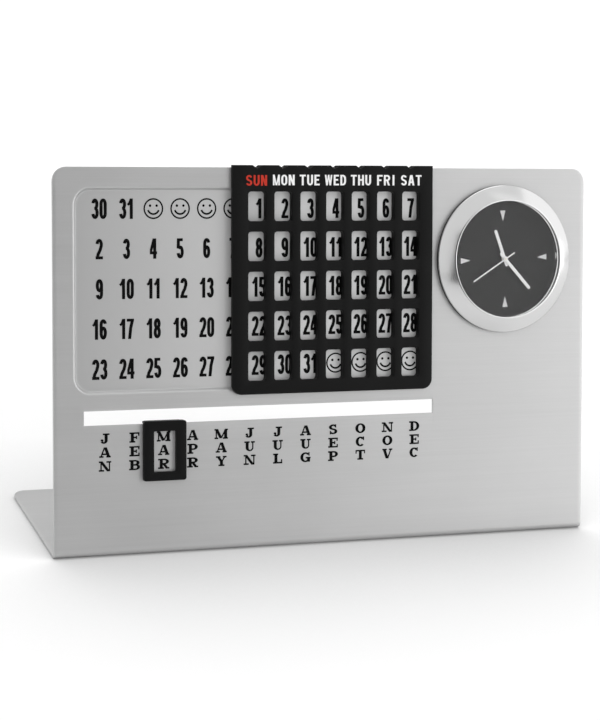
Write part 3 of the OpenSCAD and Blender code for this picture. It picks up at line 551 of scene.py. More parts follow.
SIX = [(ring(0, -0.42, 1, 0.58),), curve(arc(0, 0.51, 1, 0.49, 15, 180), (-1, -0.42))]
NUMERALS = {
    "0": [(oval(0.52, 0.48),)],
    "1": [line(0.45, -2, 0.45, 2), (path((-1.3, 0.42), (-0.5, 0.6), (0.5, 1.2)), (0.8, 0.8))],
    "2": [curve(arc(0, 0.51, 1, 0.49, 172, -25), (0.45, -0.1), (-0.5, -0.56), (-0.95, -1.1)),
          line(-2, -1, 2, -1)],
    "3": [(arc(-0.03, 0.52, 0.92, 0.48, 168, -80),), (arc(0, -0.47, 1, 0.53, 84, -168),),
          line(-0.35, 0.05, 0.3, 0.05)],
    "4": [line(0.5, 1.4, -1.5, -0.52, (0.85, 0.85)), line(-2, -0.49, 2, -0.49), line(0.6, 2, 0.6, -2)],
    "5": [line(-0.9, 1, 1.25, 1), line(-0.85, 1.3, -0.98, -0.02),
          (arc(0, -0.42, 1, 0.58, 140, -168),)],
    "6": SIX,
    "7": [line(-2, 1, 2, 1), curve((1.0, 1.0), (0.15, 0.1), (-0.5, -1.4))],
    "8": [(ring(0, 0.52, 0.9, 0.48),), (ring(0, -0.47, 1, 0.53),)],
    "9": [(-stroke[0],) for stroke in SIX],
}
WEEKDAY_LETTERS = {
    "S": [curve(arc(0, 0.52, 1, 0.48, 15, 235), arc(0, -0.52, 1, 0.48, 55, -165))],
    "U": [curve((-1, 2), arc(0, -0.4, 1, 0.6, 180, 360), (1, 2))],
    "N": [line(-1, -2, -1, 2), line(1, -2, 1, 2), line(-1.1, 1.4, 1.1, -1.4)],
    "M": [line(-1.06, -2, -1.06, 2, (0.82, 1)), line(1.06, -2, 1.06, 2, (0.82, 1)),
          line(-1.0, 1.3, 0, -1.4, (0.66, 1)), line(1.0, 1.3, 0, -1.4, (0.66, 1))],
    "O": [(oval(0.4, 0.6),)],
    "T": [line(-2, 1, 2, 1), line(0, 1, 0, -2)],
    "E": [line(-1, -2, -1, 2), line(-1, 1, 2, 1), line(-1, -1, 2, -1), line(-1, 0.05, 1.05, 0.05)],
    "W": [line(-1.12, 1.4, -0.58, -1.4, (0.8, 1)), line(-0.58, -1.4, 0, 1.3, (0.66, 1)),
          line(0.58, -1.4, 0, 1.3, (0.66, 1)), line(1.12, 1.4, 0.58, -1.4, (0.8, 1))],
    "D": [line(-1, -2, -1, 2),
          curve((-1, 1), arc(-0.1, 0.25, 1.1, 0.75, 90, 0), arc(-0.1, -0.25, 1.1, 0.75, 0, -90), (-1, -1))],
    "H": [line(-1, -2, -1, 2), line(1, -2, 1, 2), line(-1, 0.05, 1, 0.05)],
    "F": [line(-1, -2, -1, 2), line(-1, 1, 2, 1), line(-1, 0, 0.9, 0)],
    "R": [line(-1, -2, -1, 2), line(0.1, -0.05, 1.05, -1.5),
          curve((-1, 1), arc(0.15, 0.5, 0.8, 0.5, 90, -90), (-1, 0))],
    "I": [line(0, -2, 0, 2)],
    "A": [line(-1.05, -1.4, 0, 1.5), line(1.05, -1.4, 0, 1.5), line(-0.6, -0.45, 0.6, -0.45)],
}
print(len(NUMERALS), "numerals,", len(WEEKDAY_LETTERS), "weekday letters")

# %% The months' slab serif letters
THIN = (0.42, 1)


def ticks(*tips):
    """The short upright ends of arms: at x, from one height to another."""
    return [line(x, a, x, b, THIN) for x, a, b in tips]


SERIF_LETTERS = {
    "J": level(1, (-0.7, 2)) + [curve((0.4, 1.1), arc(-0.35, -0.4, 0.75, 0.6, 0, -150)),
                                (ring(-0.95, -0.4, 0.15, 0.12), (0.6, 0.8))],
    "A": level(-1, (-2, -0.35), (0.3, 2)) + level(-0.4, (-0.6, 0.6)) +
         [line(-1.0, -1.1, -0.05, 1.3, THIN), line(0.95, -1.2, 0.0, 1.4)],
    "N": level(-1, (-2, -0.2)) + level(1, (0.3, 2), (-2, -0.9)) +
         [line(-0.85, -1, -0.85, 1, THIN), line(0.95, -1.1, 0.95, 1, THIN),
          line(-1.05, 1.4, 0.9, -1.4)],
    "F": level(-1, (-2, 0.25)) + level(1, (-2, 2)) + level(0, (-0.6, 0.6)) +
         ticks((1.25, 1, 0.35), (0.6, 0.4, -0.4)) + [line(-0.6, -1, -0.6, 1)],
    "E": level(-1, (-2, 2)) + level(1, (-2, 2)) + level(0, (-0.6, 0.5)) +
         ticks((1.2, 1, 0.4), (1.25, -1, -0.35), (0.5, 0.4, -0.4)) + [line(-0.6, -1, -0.6, 1)],
    "B": [curve((-2, 1), arc(0.15, 0.52, 0.75, 0.48, 90, -90), (-0.6, 0.04)),
          curve((-0.6, 0.04), arc(0.2, -0.48, 0.85, 0.52, 90, -90), (-2, -1)),
          line(-0.65, -1, -0.65, 1)],
    "M": level(-1, (-2, -0.55), (0.3, 2)) + level(1, (-2, -0.9), (0.9, 2)) +
         [line(-0.95, -1, -0.95, 1, THIN), line(0.85, -1, 0.85, 1),
          line(-1.0, 1.4, -0.05, -1.0), line(0.95, 1.3, 0.0, -1.0, THIN)],
    "R": level(-1, (-2, 0.05), (0.65, 2)) +
         [curve((-2, 1), arc(0.1, 0.5, 0.8, 0.5, 90, -90), (-0.6, 0)), line(-0.6, -1, -0.6, 1),
          line(0.0, 0.0, 0.85, -1.1)],
    "P": level(-1, (-2, 0.2)) +
         [curve((-2, 1), arc(0.2, 0.45, 0.8, 0.55, 90, -90), (-0.6, -0.1)), line(-0.6, -1, -0.6, 1)],
    "Y": level(1, (-2, -0.2), (0.4, 2)) + level(-1, (-0.75, 0.85)) +
         [line(-0.85, 1.1, 0.05, -0.1), line(1.0, 1.1, 0.15, -0.1, THIN),
          line(0.05, 0.1, 0.05, -1)],
    "U": level(1, (-2, 0.0), (0.35, 2)) +
         [curve((-0.65, 1), arc(0.05, -0.35, 0.7, 0.65, 180, 285)),
          (path(arc(0.05, -0.35, 0.8, 0.65, 285, 360), (0.85, 1)), THIN)],
    "L": level(1, (-2, 0.15)) + level(-1, (-2, 2)) + ticks((1.25, -1, -0.2)) +
         [line(-0.55, -1, -0.55, 1)],
    "G": ticks((0.95, 1.2, 0.35)) + level(-0.12, (0.05, 2)) +
         [(arc(0, 0, 1, 1, 42, 325),), line(0.85, -0.12, 0.85, -1.1)],
    "S": ticks((0.9, 1.2, 0.4), (-0.95, -1.2, -0.35)) +
         [curve(arc(0, 0.52, 0.95, 0.48, 30, 235), arc(0, -0.5, 1, 0.5, 55, -150))],
    "O": [(ring(0, 0, 1, 1),)],
    "C": ticks((0.98, 1.2, 0.3)) + [(arc(0, 0, 1, 1, 38, 318),)],
    "T": level(1, (-2, 2)) + level(-1, (-0.85, 0.85)) + ticks((-1.3, 1, 0.3), (1.3, 1, 0.3)) +
         [line(0, -1, 0, 1)],
    "V": level(1, (-2, -0.15), (0.45, 2)) +
         [line(-0.95, 1.2, 0.08, -1.5), line(1.05, 1.2, 0.05, -1.3, THIN)],
    "D": [curve((-2, 1), arc(-0.1, 0, 1.1, 1, 90, -90), (-2, -1)), line(-0.6, -1, -0.6, 1)],
}
print(len(SERIF_LETTERS), "serif letters")


# %% Characters laid out on the panel
INK_T = 0.04                                        # thickness of the printed film


def character(strokes, size, pen):
    """A character's triangles: its strokes scaled from the unit box to its size, less the pen."""
    reach = (np.array(size) - pen) / 2
    return inked([(s[0] * reach, np.array(pen) * (s[1] if len(s) > 1 else 1)) for s in strokes], size)


def printed(shapes, places, h):
    """Ink on the panel: every place is (shape's name, s, t), and each shape is filled once and copied."""
    shells = []
    for name, (points, triangles) in shapes.items():
        at = np.array([(s, t) for key, s, t in places if key == name]).reshape(-1, 1, 2)
        if len(at):
            spots = (points + at).reshape(-1, 2)
            faces = (triangles + np.arange(len(at)).reshape(-1, 1, 1) * len(points)).reshape(-1, 3)
            front, back = (on_panel(spots[:, 0], spots[:, 1], level) for level in (h + INK_T, h))
            shells.append(thickened(front, back, faces))
    return joined(*shells)


def word_places(word, widths, gap, s, t):
    """The place of each character of a word that is centred on (s, t)."""
    widths = np.array([widths[c] for c in word])
    ends = np.cumsum(widths + gap) - gap
    return [(c, s + x, t) for c, x in zip(word, ends - widths / 2 - ends[-1] / 2)]


# %% [markdown]
# ## Ink
# Screen-printed ink is a film a few hundredths of a millimetre thick with a dull, faintly mottled skin,
# so it catches a little less light than the plastic round it. One function makes the three colours.

# %% Ink finishes
def ink(name, colour, worn, shine=0.25):
    film = Finish(name)
    mottle = film.noise((900, 900, 900), detail=3.0)
    return film.surface(Base_Color=film.mix(mottle.between(0.35, 0.7), colour, worn),
                        Roughness=0.42 + 0.2 * mottle, Specular_IOR_Level=shine,
                        Normal=film.bump(mottle, 4))


black_ink = ink("black_ink", grey(0.0015), grey(0.004), shine=0.06)
white_ink = ink("white_ink", grey(0.92), grey(0.84))
red_ink = ink("red_ink", (0.57, 0.03, 0.012, 1), (0.48, 0.025, 0.01, 1))

# %% [markdown]
# ## The dates
# Thirteen columns of five, so that every month's layout can be framed by the slide's windows. Cells that
# hold no date have a smiling face instead: a thin circle, two dots and an arc.

# %% Dates
COLUMNS, ROWS, WEEK = 13, 5, 7
COLUMN_PITCH, ROW_PITCH, FIRST_COLUMN, LAST_ROW = 9.14, 12.8, 15.85, 60.5
NUMERAL, NUMERAL_PEN = (2.45, 6.5), np.array([1.05, 0.94])
ONE_ADVANCE, NUMERAL_GAP = 2.2, 0.25
FACE_BOX = (7, 7)
FACE = [(ring(0, 0, 3.12, 3.12), (0.5, 0.5)), (arc(0, 0.2, 1.95, 1.95, -160, -20), (0.6, 0.6)),
        (ring(-1.12, 0.95, 0.21, 0.21), (0.42, 0.42)), (ring(1.12, 0.95, 0.21, 0.21), (0.42, 0.42))]


def cell(row, column):
    """A cell's date, or nothing for a face."""
    day = column - 5 + WEEK * row
    if day < 1:
        return str(30 + column) if column < 2 else None
    return str(day) if day <= 31 else None


def date_places():
    """Every numeral's place and every face's, row by row from the top."""
    advance = {c: ONE_ADVANCE if c == "1" else NUMERAL[0] for c in NUMERALS}
    places = []
    for row in range(ROWS):
        for column in range(COLUMNS):
            s, t = FIRST_COLUMN + column * COLUMN_PITCH, LAST_ROW + (ROWS - 1 - row) * ROW_PITCH
            day = cell(row, column)
            places += word_places(day, advance, NUMERAL_GAP, s, t) if day else [("face", s, t)]
    return places


date_shapes = {c: character(strokes, NUMERAL, NUMERAL_PEN) for c, strokes in NUMERALS.items()}
date_shapes["face"] = inked(FACE, FACE_BOX)
piece("printed_dates", printed(date_shapes, date_places(), -RECESS_DEPTH), "stand",
      black_ink, ["date_numbers"])

# %% [markdown]
# ## The months
# Three letters under one another for each month, in a wide slab serif that stays readable at 3 mm.

# %% Months
MONTHS = ["JAN", "FEB", "MAR", "APR", "MAY", "JUN", "JUL", "AUG", "SEP", "OCT", "NOV", "DEC"]
FIRST_MONTH, MONTH_PITCH, MONTH_T, MONTH_LINE, MONTH_H = 17.05, 9.96, 34, 4.45, 3.3
SERIF_WIDTHS = dict(J=3.1, A=3.9, N=4.2, F=3.4, E=3.5, B=3.7, M=4.7, R=3.9, P=3.6, Y=3.7, U=3.7, L=3.3,
                    G=3.7, S=3.1, O=3.7, C=3.4, T=3.5, V=3.7, D=3.8)
SERIF_PEN = np.array([1.06, 0.52])
month_shapes = {c: character(strokes, (SERIF_WIDTHS[c], MONTH_H), SERIF_PEN)
                for c, strokes in SERIF_LETTERS.items()}
month_places = [(c, FIRST_MONTH + m * MONTH_PITCH, MONTH_T + (1 - i) * MONTH_LINE)
                for m, name in enumerate(MONTHS) for i, c in enumerate(name)]
piece("printed_months", printed(month_shapes, month_places, 0), "stand", black_ink,
      ["month_names"])

# %% [markdown]
# ## Moulded black plastic
# Both slides are moulded in black with a satin skin: fine spark-eroded grain from the mould, slightly
# polished where fingers push. The base colour is nearly black, so what shows is mostly its soft shine.

# %% Black plastic
def moulded(name, shade, roughness):
    skin = Finish(name)
    speck = skin.noise((3500, 3500, 3500))
    rubbed = skin.noise((60, 60, 60), detail=3.0).between(0.4, 0.75)
    return skin.surface(
        Base_Color=skin.mix(0.6 * speck + 0.4 * rubbed, grey(shade * 0.75), grey(shade * 1.35)),
        Roughness=roughness + 0.12 * speck - 0.08 * rubbed,
        Specular_IOR_Level=0.12,
        Normal=skin.bump(speck, 5))


slide_plastic = moulded("slide_plastic", 0.0045, 0.42)

# %% [markdown]
# ## The date slide
# A moulded plate with five rows of seven windows. It lies on the panel, a thinner body below it runs in
# the recess, and its top edge hooks over the panel, with a small notch for the thumb above each column.
# The plate could be a box with windows cut by a boolean. Its edges are moulded round, though, and that is
# what the light shows, so every outline is carried down a quarter circle and then straight to the back:
# the same profile for the rim and for all the windows at once.

# %% Rims with a round edge
FACE_H, EDGE_R = 1.4, 0.32
BACK_H = -RECESS_DEPTH + 0.22
LAP_H = 0.12


def edge_profile(radius, top, bottom):
    """(inset, height) pairs: a quarter circle from the face, then straight down to the bottom."""
    turn = np.radians(np.linspace(0, 90, 5))
    inset = np.append(radius * (1 - np.sin(turn)), 0)
    return inset, np.append(top - radius * (1 - np.cos(turn)), bottom)


def moved_in(outline, distance):
    """A closed outline moved inwards: each corner goes along the sum of its two sides' normals."""
    ahead = np.roll(outline, -1, 0) - outline
    ahead /= np.hypot(*ahead.T)[:, None]
    normal = np.stack([-ahead[:, 1], ahead[:, 0]], -1)
    before = np.roll(normal, 1, 0)
    return outline + distance * (normal + before) / (1 + (normal * before).sum(1))[:, None]


def rim(rings, heights):
    """Quads between outlines of equal length, one above the other."""
    points = on_panel(np.stack(rings)[..., 0], np.stack(rings)[..., 1], np.array(heights)[:, None])
    return points.reshape(-1, 3), [grid_quads(len(rings), len(rings[0]), closed=True)]


def cap(loops, h):
    """The flat face between outlines, at a height."""
    points, triangles = filled(loops)
    return on_panel(points[:, 0], points[:, 1], h), [triangles]


# %% The date slide
SLIDE_S, SLIDE_W, SLIDE_T0, SLIDE_T1 = 60.35, 72.17, 51.05, 125.77
SLIDE_R, NOTCH_HALF, NOTCH_DEPTH = 3.3, 1.6, 1.1
BODY, BODY_R = (61.35, 53.62, 130.52, 117.58), 4.9
WINDOW_S, WINDOW_T, WINDOW_W, WINDOW_H, WINDOW_R = 69.1, 60.25, 6.3, 9.6, 1.0
WINDOW_PITCH = (9.22, 13.03)
MIDDLES = WINDOW_S + WINDOW_PITCH[0] * np.arange(WEEK)   # s of the windows' columns and of the notches
HOOK_BACK, HOOK_FRONT, HOOK_T0, HOOK_IN = -2.32, -1.12, 119.37, 1.5
EDGE_GAP, MEET = 0.12, 0.02                         # clearance to the sheet's edges, overlap of two parts
QUARTER = 10                                        # sides of a quarter circle


def slide_outline():
    """The plate's outline, counterclockwise: round at the bottom, square at the top, with seven notches."""
    right = SLIDE_S + SLIDE_W
    bottom = rounded_rectangle(SLIDE_S, SLIDE_T0, right, SLIDE_T1, SLIDE_R, QUARTER)
    notch = np.array([(NOTCH_HALF, 0), (0, -NOTCH_DEPTH), (-NOTCH_HALF, 0)])
    notches = (np.stack([MIDDLES[::-1], np.full(WEEK, SLIDE_T1)], -1)[:, None] + notch).reshape(-1, 2)
    return np.concatenate([bottom[-QUARTER - 1:], bottom[:QUARTER + 1], [(right, SLIDE_T1)], notches,
                           [(SLIDE_S, SLIDE_T1)]])


def window_outlines(growth):
    """The thirty-five windows' outlines, grown by some distance: an array of windows by points."""
    half_w, half_h = WINDOW_W / 2 + growth, WINDOW_H / 2 + growth
    one = rounded_rectangle(-half_w, -half_h, half_w, half_h, WINDOW_R + growth)
    s, t = np.meshgrid(MIDDLES, WINDOW_T + WINDOW_PITCH[1] * np.arange(ROWS))
    return np.stack([s.ravel(), t.ravel()], -1)[:, None] + one


def date_slide_shell():
    """Face, rim and windows with round edges, the lap beside the body, the body, and the hook."""
    outline, body = slide_outline(), rounded_rectangle(*BODY, BODY_R, QUARTER)
    inset, height = edge_profile(EDGE_R, FACE_H, LAP_H)
    sink, level = edge_profile(EDGE_R, FACE_H, BACK_H)
    windows = np.stack([window_outlines(g) for g in sink])
    through = [rim(windows[:, i], level) for i in range(windows.shape[1])]
    leg = outline[outline[:, 1] > SLIDE_T1 - 2]
    leg = np.concatenate([[(SLIDE_S, HOOK_T0), (SLIDE_S + SLIDE_W, HOOK_T0)], leg])
    leg[:, 0] = np.clip(leg[:, 0], SLIDE_S + HOOK_IN, SLIDE_S + SLIDE_W - HOOK_IN)
    return joined(
        cap([moved_in(outline, EDGE_R)] + list(window_outlines(EDGE_R)), FACE_H),
        rim([moved_in(outline, d) for d in inset], height),
        cap([outline, body], LAP_H),
        rim([body, body], [LAP_H, BACK_H]),
        cap([body] + list(window_outlines(0)), BACK_H),
        *through,
        plate([leg], HOOK_BACK, HOOK_FRONT),
        plate(top_bars(), HOOK_FRONT - MEET, LAP_H + MEET))


def top_bars():
    """What the notches leave of the strip over the panel's edge: eight bars with slanted ends."""
    t0, t1 = PANEL_H + EDGE_GAP, SLIDE_T1
    lean_in = np.full(WEEK, NOTCH_HALF * (t1 - t0) / NOTCH_DEPTH)
    starts = np.append(SLIDE_S + HOOK_IN, MIDDLES + NOTCH_HALF)
    ends = np.append(MIDDLES - NOTCH_HALF, SLIDE_S + SLIDE_W - HOOK_IN)
    low, high = np.full(WEEK + 1, t0), np.full(WEEK + 1, t1)
    corners = [(starts - np.append(0, lean_in), low), (ends + np.append(lean_in, 0), low), (ends, high),
               (starts, high)]
    return list(np.stack([np.stack(corner, -1) for corner in corners], 1))


piece("date_slide_moulding", date_slide_shell(), "date_slider", slide_plastic,
      ["date_slide"])

# %% [markdown]
# ## Weekday names
# Printed above the windows, Sunday in red and the rest in white, and they travel with the slide. The red
# is a printing of its own, a little to the left of the white and lower.

# %% Weekdays
WEEKDAYS = ["SUN", "MON", "TUE", "WED", "THU", "FRI", "SAT"]
WEEKDAY_WIDTHS = dict(S=2.12, U=2.1, N=2.12, M=2.45, O=2.12, T=2.12, E=1.9, W=2.65, D=2.05, H=2.12, F=2,
                      R=2.3, I=1.4, A=2.35)
WEEKDAY_T, WEEKDAY_H, WEEKDAY_GAP, WEEKDAY_PEN = 120.95, 3.45, 0.5, np.array([0.68, 0.54])
RED_SHIFT = (-0.36, -0.15)
weekday_shapes = {c: character(strokes, (WEEKDAY_WIDTHS[c], WEEKDAY_H), WEEKDAY_PEN)
                  for c, strokes in WEEKDAY_LETTERS.items()}


def weekday_places(first, last, shift=(0, 0)):
    """The letters' places of the days from first up to last, over the windows' middles."""
    places = []
    for day, s in list(zip(WEEKDAYS, MIDDLES))[first:last]:
        places += word_places(day, WEEKDAY_WIDTHS, WEEKDAY_GAP, s + shift[0], WEEKDAY_T + shift[1])
    return places


piece("printed_sunday", printed(weekday_shapes, weekday_places(0, 1, RED_SHIFT), FACE_H), "date_slider",
      red_ink, ["weekday_sunday"])
piece("printed_weekdays", printed(weekday_shapes, weekday_places(1, WEEK), FACE_H), "date_slider",
      white_ink, ["weekday_names"])

# %% [markdown]
# ## The month slide
# A small moulded frame that hangs on the slot's lower edge: a neck passes through the slot and a lip
# hangs down behind. Its rim and its window get the same round-edged profile as the date slide.

# %% The month slide
FRAME = (29.77, 24.18, 44.37, 43.53)                # left, bottom, right, top
FRAME_H, FRAME_EDGE, FRAME_R, FRAME_WINDOW_R = 1.5, 0.3, 0.8, 0.4
FRAME_WINDOW_HALF, FRAME_WINDOW_LOW, FRAME_WINDOW_TOP = 3.8, 16.45, 3.3     # half width, and below the top
NECK_IN, NECK_DEEP, NECK_R = 0.4, 0.3, 0.15
LEG_IN, LEG_LEN, LEG_R = 1.2, 6.2, 0.2


def month_slide_shell():
    """Frame and window with round edges, the neck in the slot, and the leg behind the sheet."""
    s0, t0, s1, t1 = FRAME
    middle = (s0 + s1) / 2
    window = np.array([middle - FRAME_WINDOW_HALF, t1 - FRAME_WINDOW_LOW,
                       middle + FRAME_WINDOW_HALF, t1 - FRAME_WINDOW_TOP])
    inset, height = edge_profile(FRAME_EDGE, FRAME_H, LAP_H)
    outer = [rounded_rectangle(s0 + d, t0 + d, s1 - d, t1 - d, FRAME_R - d) for d in inset]
    inner = [rounded_rectangle(*(window + np.array([-d, -d, d, d])), FRAME_WINDOW_R + d) for d in inset]
    neck = rounded_rectangle(s0 + NECK_IN, SLOT[1] + EDGE_GAP, s1 - NECK_IN, t1, NECK_R, 2)
    leg = rounded_rectangle(s0 + LEG_IN, t1 - LEG_LEN, s1 - LEG_IN, t1, LEG_R, 2)
    return joined(cap([outer[0], inner[0]], FRAME_H), rim(outer, height), rim(inner, height),
                  cap([outer[-1], inner[-1]], LAP_H),
                  plate([neck], HOOK_FRONT - NECK_DEEP, LAP_H + MEET), plate([leg], HOOK_BACK, HOOK_FRONT))


piece("month_slide_moulding", month_slide_shell(), "month_slider", slide_plastic,
      ["month_slide"])

# %% [markdown]
# ## Turned clock parts
# The bezel is turned from metal: a short rim, a cone rising inwards, and a lip round the glass. A turned
# part is a profile carried round an axis, so each is a list of (radius, height) points whose corners are
# rounded and then swept. The surface keeps its own map of angle and radius for the turning marks.

# %% Revolved profiles
def softened(profile, radius, n=4):
    """A closed profile whose corners are curves: each runs from the side before to the side after, at
    most the radius from the corner, bent as a parabola."""
    profile = np.asarray(profile, float)
    before, after = np.roll(profile, 1, 0) - profile, np.roll(profile, -1, 0) - profile
    reach = [np.minimum(radius, 0.45 * np.hypot(*side.T))[:, None] / np.hypot(*side.T)[:, None]
             for side in (before, after)]
    start, end = profile + before * reach[0], profile + after * reach[1]
    x = np.linspace(0, 1, n)[None, :, None]
    curve = (1 - x) ** 2 * start[:, None] + 2 * x * (1 - x) * profile[:, None] + x ** 2 * end[:, None]
    return curve.reshape(-1, 2)


def turned(profile, n=160):
    """A closed profile of (radius, height) swept round the clock's axis."""
    turn = np.linspace(0, 2 * math.pi, n, endpoint=False)[:, None]
    r, h = profile[None, :, 0], profile[None, :, 1]
    points = on_panel(CLOCK_S + r * np.sin(turn), CLOCK_T + r * np.cos(turn), h + 0 * turn)
    index = np.arange(n * len(profile)).reshape(n, -1)
    a, b = index, np.roll(index, -1, 0)
    quads = np.stack([a, np.roll(a, -1, 1), np.roll(b, -1, 1), b], -1).reshape(-1, 4)
    return points.reshape(-1, 3), [quads]


def clock_map(made):
    """Each corner's angle, in turns, and radius in metres about the clock's axis, as the piece's UV map."""
    corner = np.zeros(len(made.data.loops), int)
    made.data.loops.foreach_get("vertex_index", corner)
    place = np.zeros(len(made.data.vertices) * 3)
    made.data.vertices.foreach_get("co", place)
    from_middle = place.reshape(-1, 3)[corner] - on_panel(CLOCK_S, CLOCK_T, 0)
    x, y = from_middle[:, 0], from_middle @ UP_SLOPE
    layer = made.data.uv_layers.new(name="turning")
    layer.data.foreach_set("uv", np.stack([np.arctan2(x, y) / (2 * math.pi), np.hypot(x, y)], -1).ravel())


# %% [markdown]
# Bright metal that was turned shows rings too fine to count and a soft streak where they catch the light.
# Noise read from the piece's map, fine along the radius and slow along the angle, makes those rings. The
# ring inside the clock is polished, so its wall mirrors the dial.

# %% Turned metal
def turned_metal(name, low, high, roughness, relief):
    metal = Finish(name)
    turning = metal.noise((3, 9000, 1), at="UV")
    cloud = metal.noise((70, 70, 70))
    return metal.surface(
        Base_Color=metal.mix(0.6 * turning + 0.4 * cloud, grey(low), grey(high)),
        Roughness=roughness + 0.06 * turning + 0.05 * cloud,
        Metallic=1.0,
        Normal=metal.bump(turning, relief))


bezel_metal = turned_metal("bezel_metal", 0.58, 0.64, 0.13, 1.5)
ring_metal = turned_metal("ring_metal", 0.78, 0.84, 0.03, 0.2)
case_plastic = moulded("case_plastic", 0.012, 0.45)

# %% Bezel, flange and inner ring
BEZEL_R, OPENING_R, BORE_R, FITTED_R, CASE_R = 25, 19.65, 20.4, 20.35, 22
FLANGE_R, FLANGE_H, LENS_H, LENS_BACK, BEZEL_H = BEZEL_R - 0.1, 0.75, 3.7, 2.7, 4.5
DIAL_BACK, DIAL_H = 0.3, 0.7

bezel = piece("bezel_ring", turned(softened(
    [(CASE_R, FLANGE_H), (BEZEL_R - 0.05, FLANGE_H), (BEZEL_R, 1.6), (OPENING_R + 0.5, BEZEL_H),
     (OPENING_R, BEZEL_H), (OPENING_R, LENS_H), (BORE_R, LENS_H), (BORE_R, 2), (CASE_R, 2)], 0.28)),
    "stand", bezel_metal, ["clock_bezel"], sharp=60)
piece("case_flange", turned(softened(
    [(CASE_R, 0), (FLANGE_R, 0), (FLANGE_R, FLANGE_H), (CASE_R, FLANGE_H)], 0.1)), "stand",
    case_plastic)
inner_ring = piece("inner_ring", turned(softened(
    [(18.95, DIAL_H), (FITTED_R, DIAL_H), (FITTED_R, LENS_BACK), (19.95, LENS_BACK), (19.68, 2.5)], 0.05)),
    "stand", ring_metal, ["clock_inner_ring"], sharp=60)
for turned_piece in (bezel, inner_ring):
    clock_map(turned_piece)

# %% [markdown]
# ## Dial, marks and hands
# The dial is a dark disc with a faint sunray brush, a triangle printed at each quarter, and three hands
# pressed from thin sheet. A hand is an outline with round ends and a hub, so it is filled like a letter,
# thickened, and given a small bevel that catches the light along its edge.

# %% Dial
def dial_paint():
    paint = Finish("dial_paint")
    ray = paint.noise((260, 14, 1), detail=3.0, at="UV")
    return paint.surface(Base_Color=paint.mix(ray.between(0.3, 0.7), grey(0.011), grey(0.017)),
                         Roughness=0.5 + 0.12 * ray, Specular_IOR_Level=0.15, Normal=paint.bump(ray, 1))


DIAL_BORE = 0.95
dial = piece("dial_disc", turned(softened([(DIAL_BORE, DIAL_BACK), (FITTED_R, DIAL_BACK), (FITTED_R, DIAL_H),
                                           (DIAL_BORE, DIAL_H)], 0.04)),
             "stand", dial_paint(), ["clock_dial"], sharp=60)
clock_map(dial)

# %% Marks and hands
def pale_paint(name, low, high, roughness):
    """The matt print of the marks and the smoother lacquer of the hands."""
    paint = Finish(name)
    speck = paint.noise((2500, 2500, 2500))
    return paint.surface(Base_Color=paint.mix(speck, grey(low), grey(high)), Metallic=0.0,
                         Roughness=roughness + 0.1 * speck, Normal=paint.bump(speck, 2))


def about_clock(points, degrees):
    """Points of the dial turned clockwise about its middle."""
    a = math.radians(degrees)
    turn = np.array([[math.cos(a), -math.sin(a)], [math.sin(a), math.cos(a)]])
    return np.asarray(points) @ turn + np.array([CLOCK_S, CLOCK_T])


def hand_outline(blade, tail, width):
    """A bar with round ends that points up, from -tail to blade."""
    r = width / 2
    return np.concatenate([arc(0, blade, r, r, 0, 180), arc(0, -tail, r, r, 180, 360)])


def hand_shell(blade, tail, width, hub, bore, degrees, h):
    """The blade and the hub's ring, filled as one: a triangle stays if it lies in either, off the bore."""
    loops = [about_clock(hand_outline(blade, tail, width), degrees)]
    loops += [about_clock(ring(0, 0, r, r)[:-1], 0) for r in (hub, bore)]
    points, triangles = triangulated(loops)
    middle = points[triangles].mean(1)
    keep = (in_odd(middle, loops[:1]) | in_odd(middle, loops[1:2])) & ~in_odd(middle, loops[2:])
    front, back = (on_panel(points[:, 0], points[:, 1], level) for level in (h + HAND_T, h))
    return thickened(front, back, triangles[keep])


DIAL_TURN = 2                                       # degrees that dial and hands sit turned to the left
HOUR, MINUTE, SECOND = 11, 23.2, 40
HAND_T = 0.2
MARK = [(-1, 16.4), (0, 12.8), (1, 16.4)]           # a triangle at twelve that points to the middle

mark_paint = pale_paint("mark_paint", 0.66, 0.78, 0.5)
hand_metal = pale_paint("hand_metal", 0.84, 0.94, 0.3)
quarters = [about_clock(MARK, 90 * q - DIAL_TURN) for q in range(4)]
piece("dial_triangles", plate(quarters, DIAL_H, DIAL_H + INK_T), "stand", mark_paint,
      ["dial_marks"])

# name, body, CAD node: blade, tail, width, hub and bore in mm, angle, height over the face, bevel
for name, body, node, lengths, angle, height, bevel in (
        ("hour_blade", "hour_pipe", "hour_hand", (9.9, 2.2, 1.1, 1.08, 0.85), 30 * (HOUR + MINUTE / 60),
         1.15, 0.06),
        ("minute_blade", "minute_pipe", "minute_hand", (13.4, 2.2, 1.1, 0.95, 0.55), 6 * MINUTE, 1.6, 0.06),
        ("second_blade", "second_arbor", "second_hand", (14.2, 3.8, 0.42, 0.7, 0.14), 6 * SECOND,
         2.05, 0.04)):
    piece(name, hand_shell(*lengths, angle - DIAL_TURN, height), body, hand_metal, [node],
          bevel=bevel)

# %% [markdown]
# ## Glass
# The lens is a flat disc, one millimetre thick, and its CAD shape is right, so it only gets a finish:
# clear glass with a trace of dust. Its index of 1.25 stands for a coated lens, because plain glass would
# veil the dark dial with the room's white. Lamps can't shine through glass in a path tracer without a
# great deal of noise, so for shadow rays it turns transparent.

# %% Lens
def lens_glass():
    glass = Finish("lens_glass")
    dust = glass.noise((400, 400, 400), detail=4.0)
    glass.surface(Base_Color=glass.mix(dust.between(0.45, 0.8), grey(1.0), grey(0.96)),
                  Transmission_Weight=1.0, IOR=1.25, Roughness=0.0)
    shadow = glass.node("LightPath", out="Is Shadow Ray")
    clear = glass.node("BsdfTransparent")
    mixed = glass.node("MixShader", {0: shadow, 1: Value(glass, glass.shader.outputs[0]), 2: clear})
    glass.feed(glass.output.inputs["Surface"], mixed)
    return glass.material


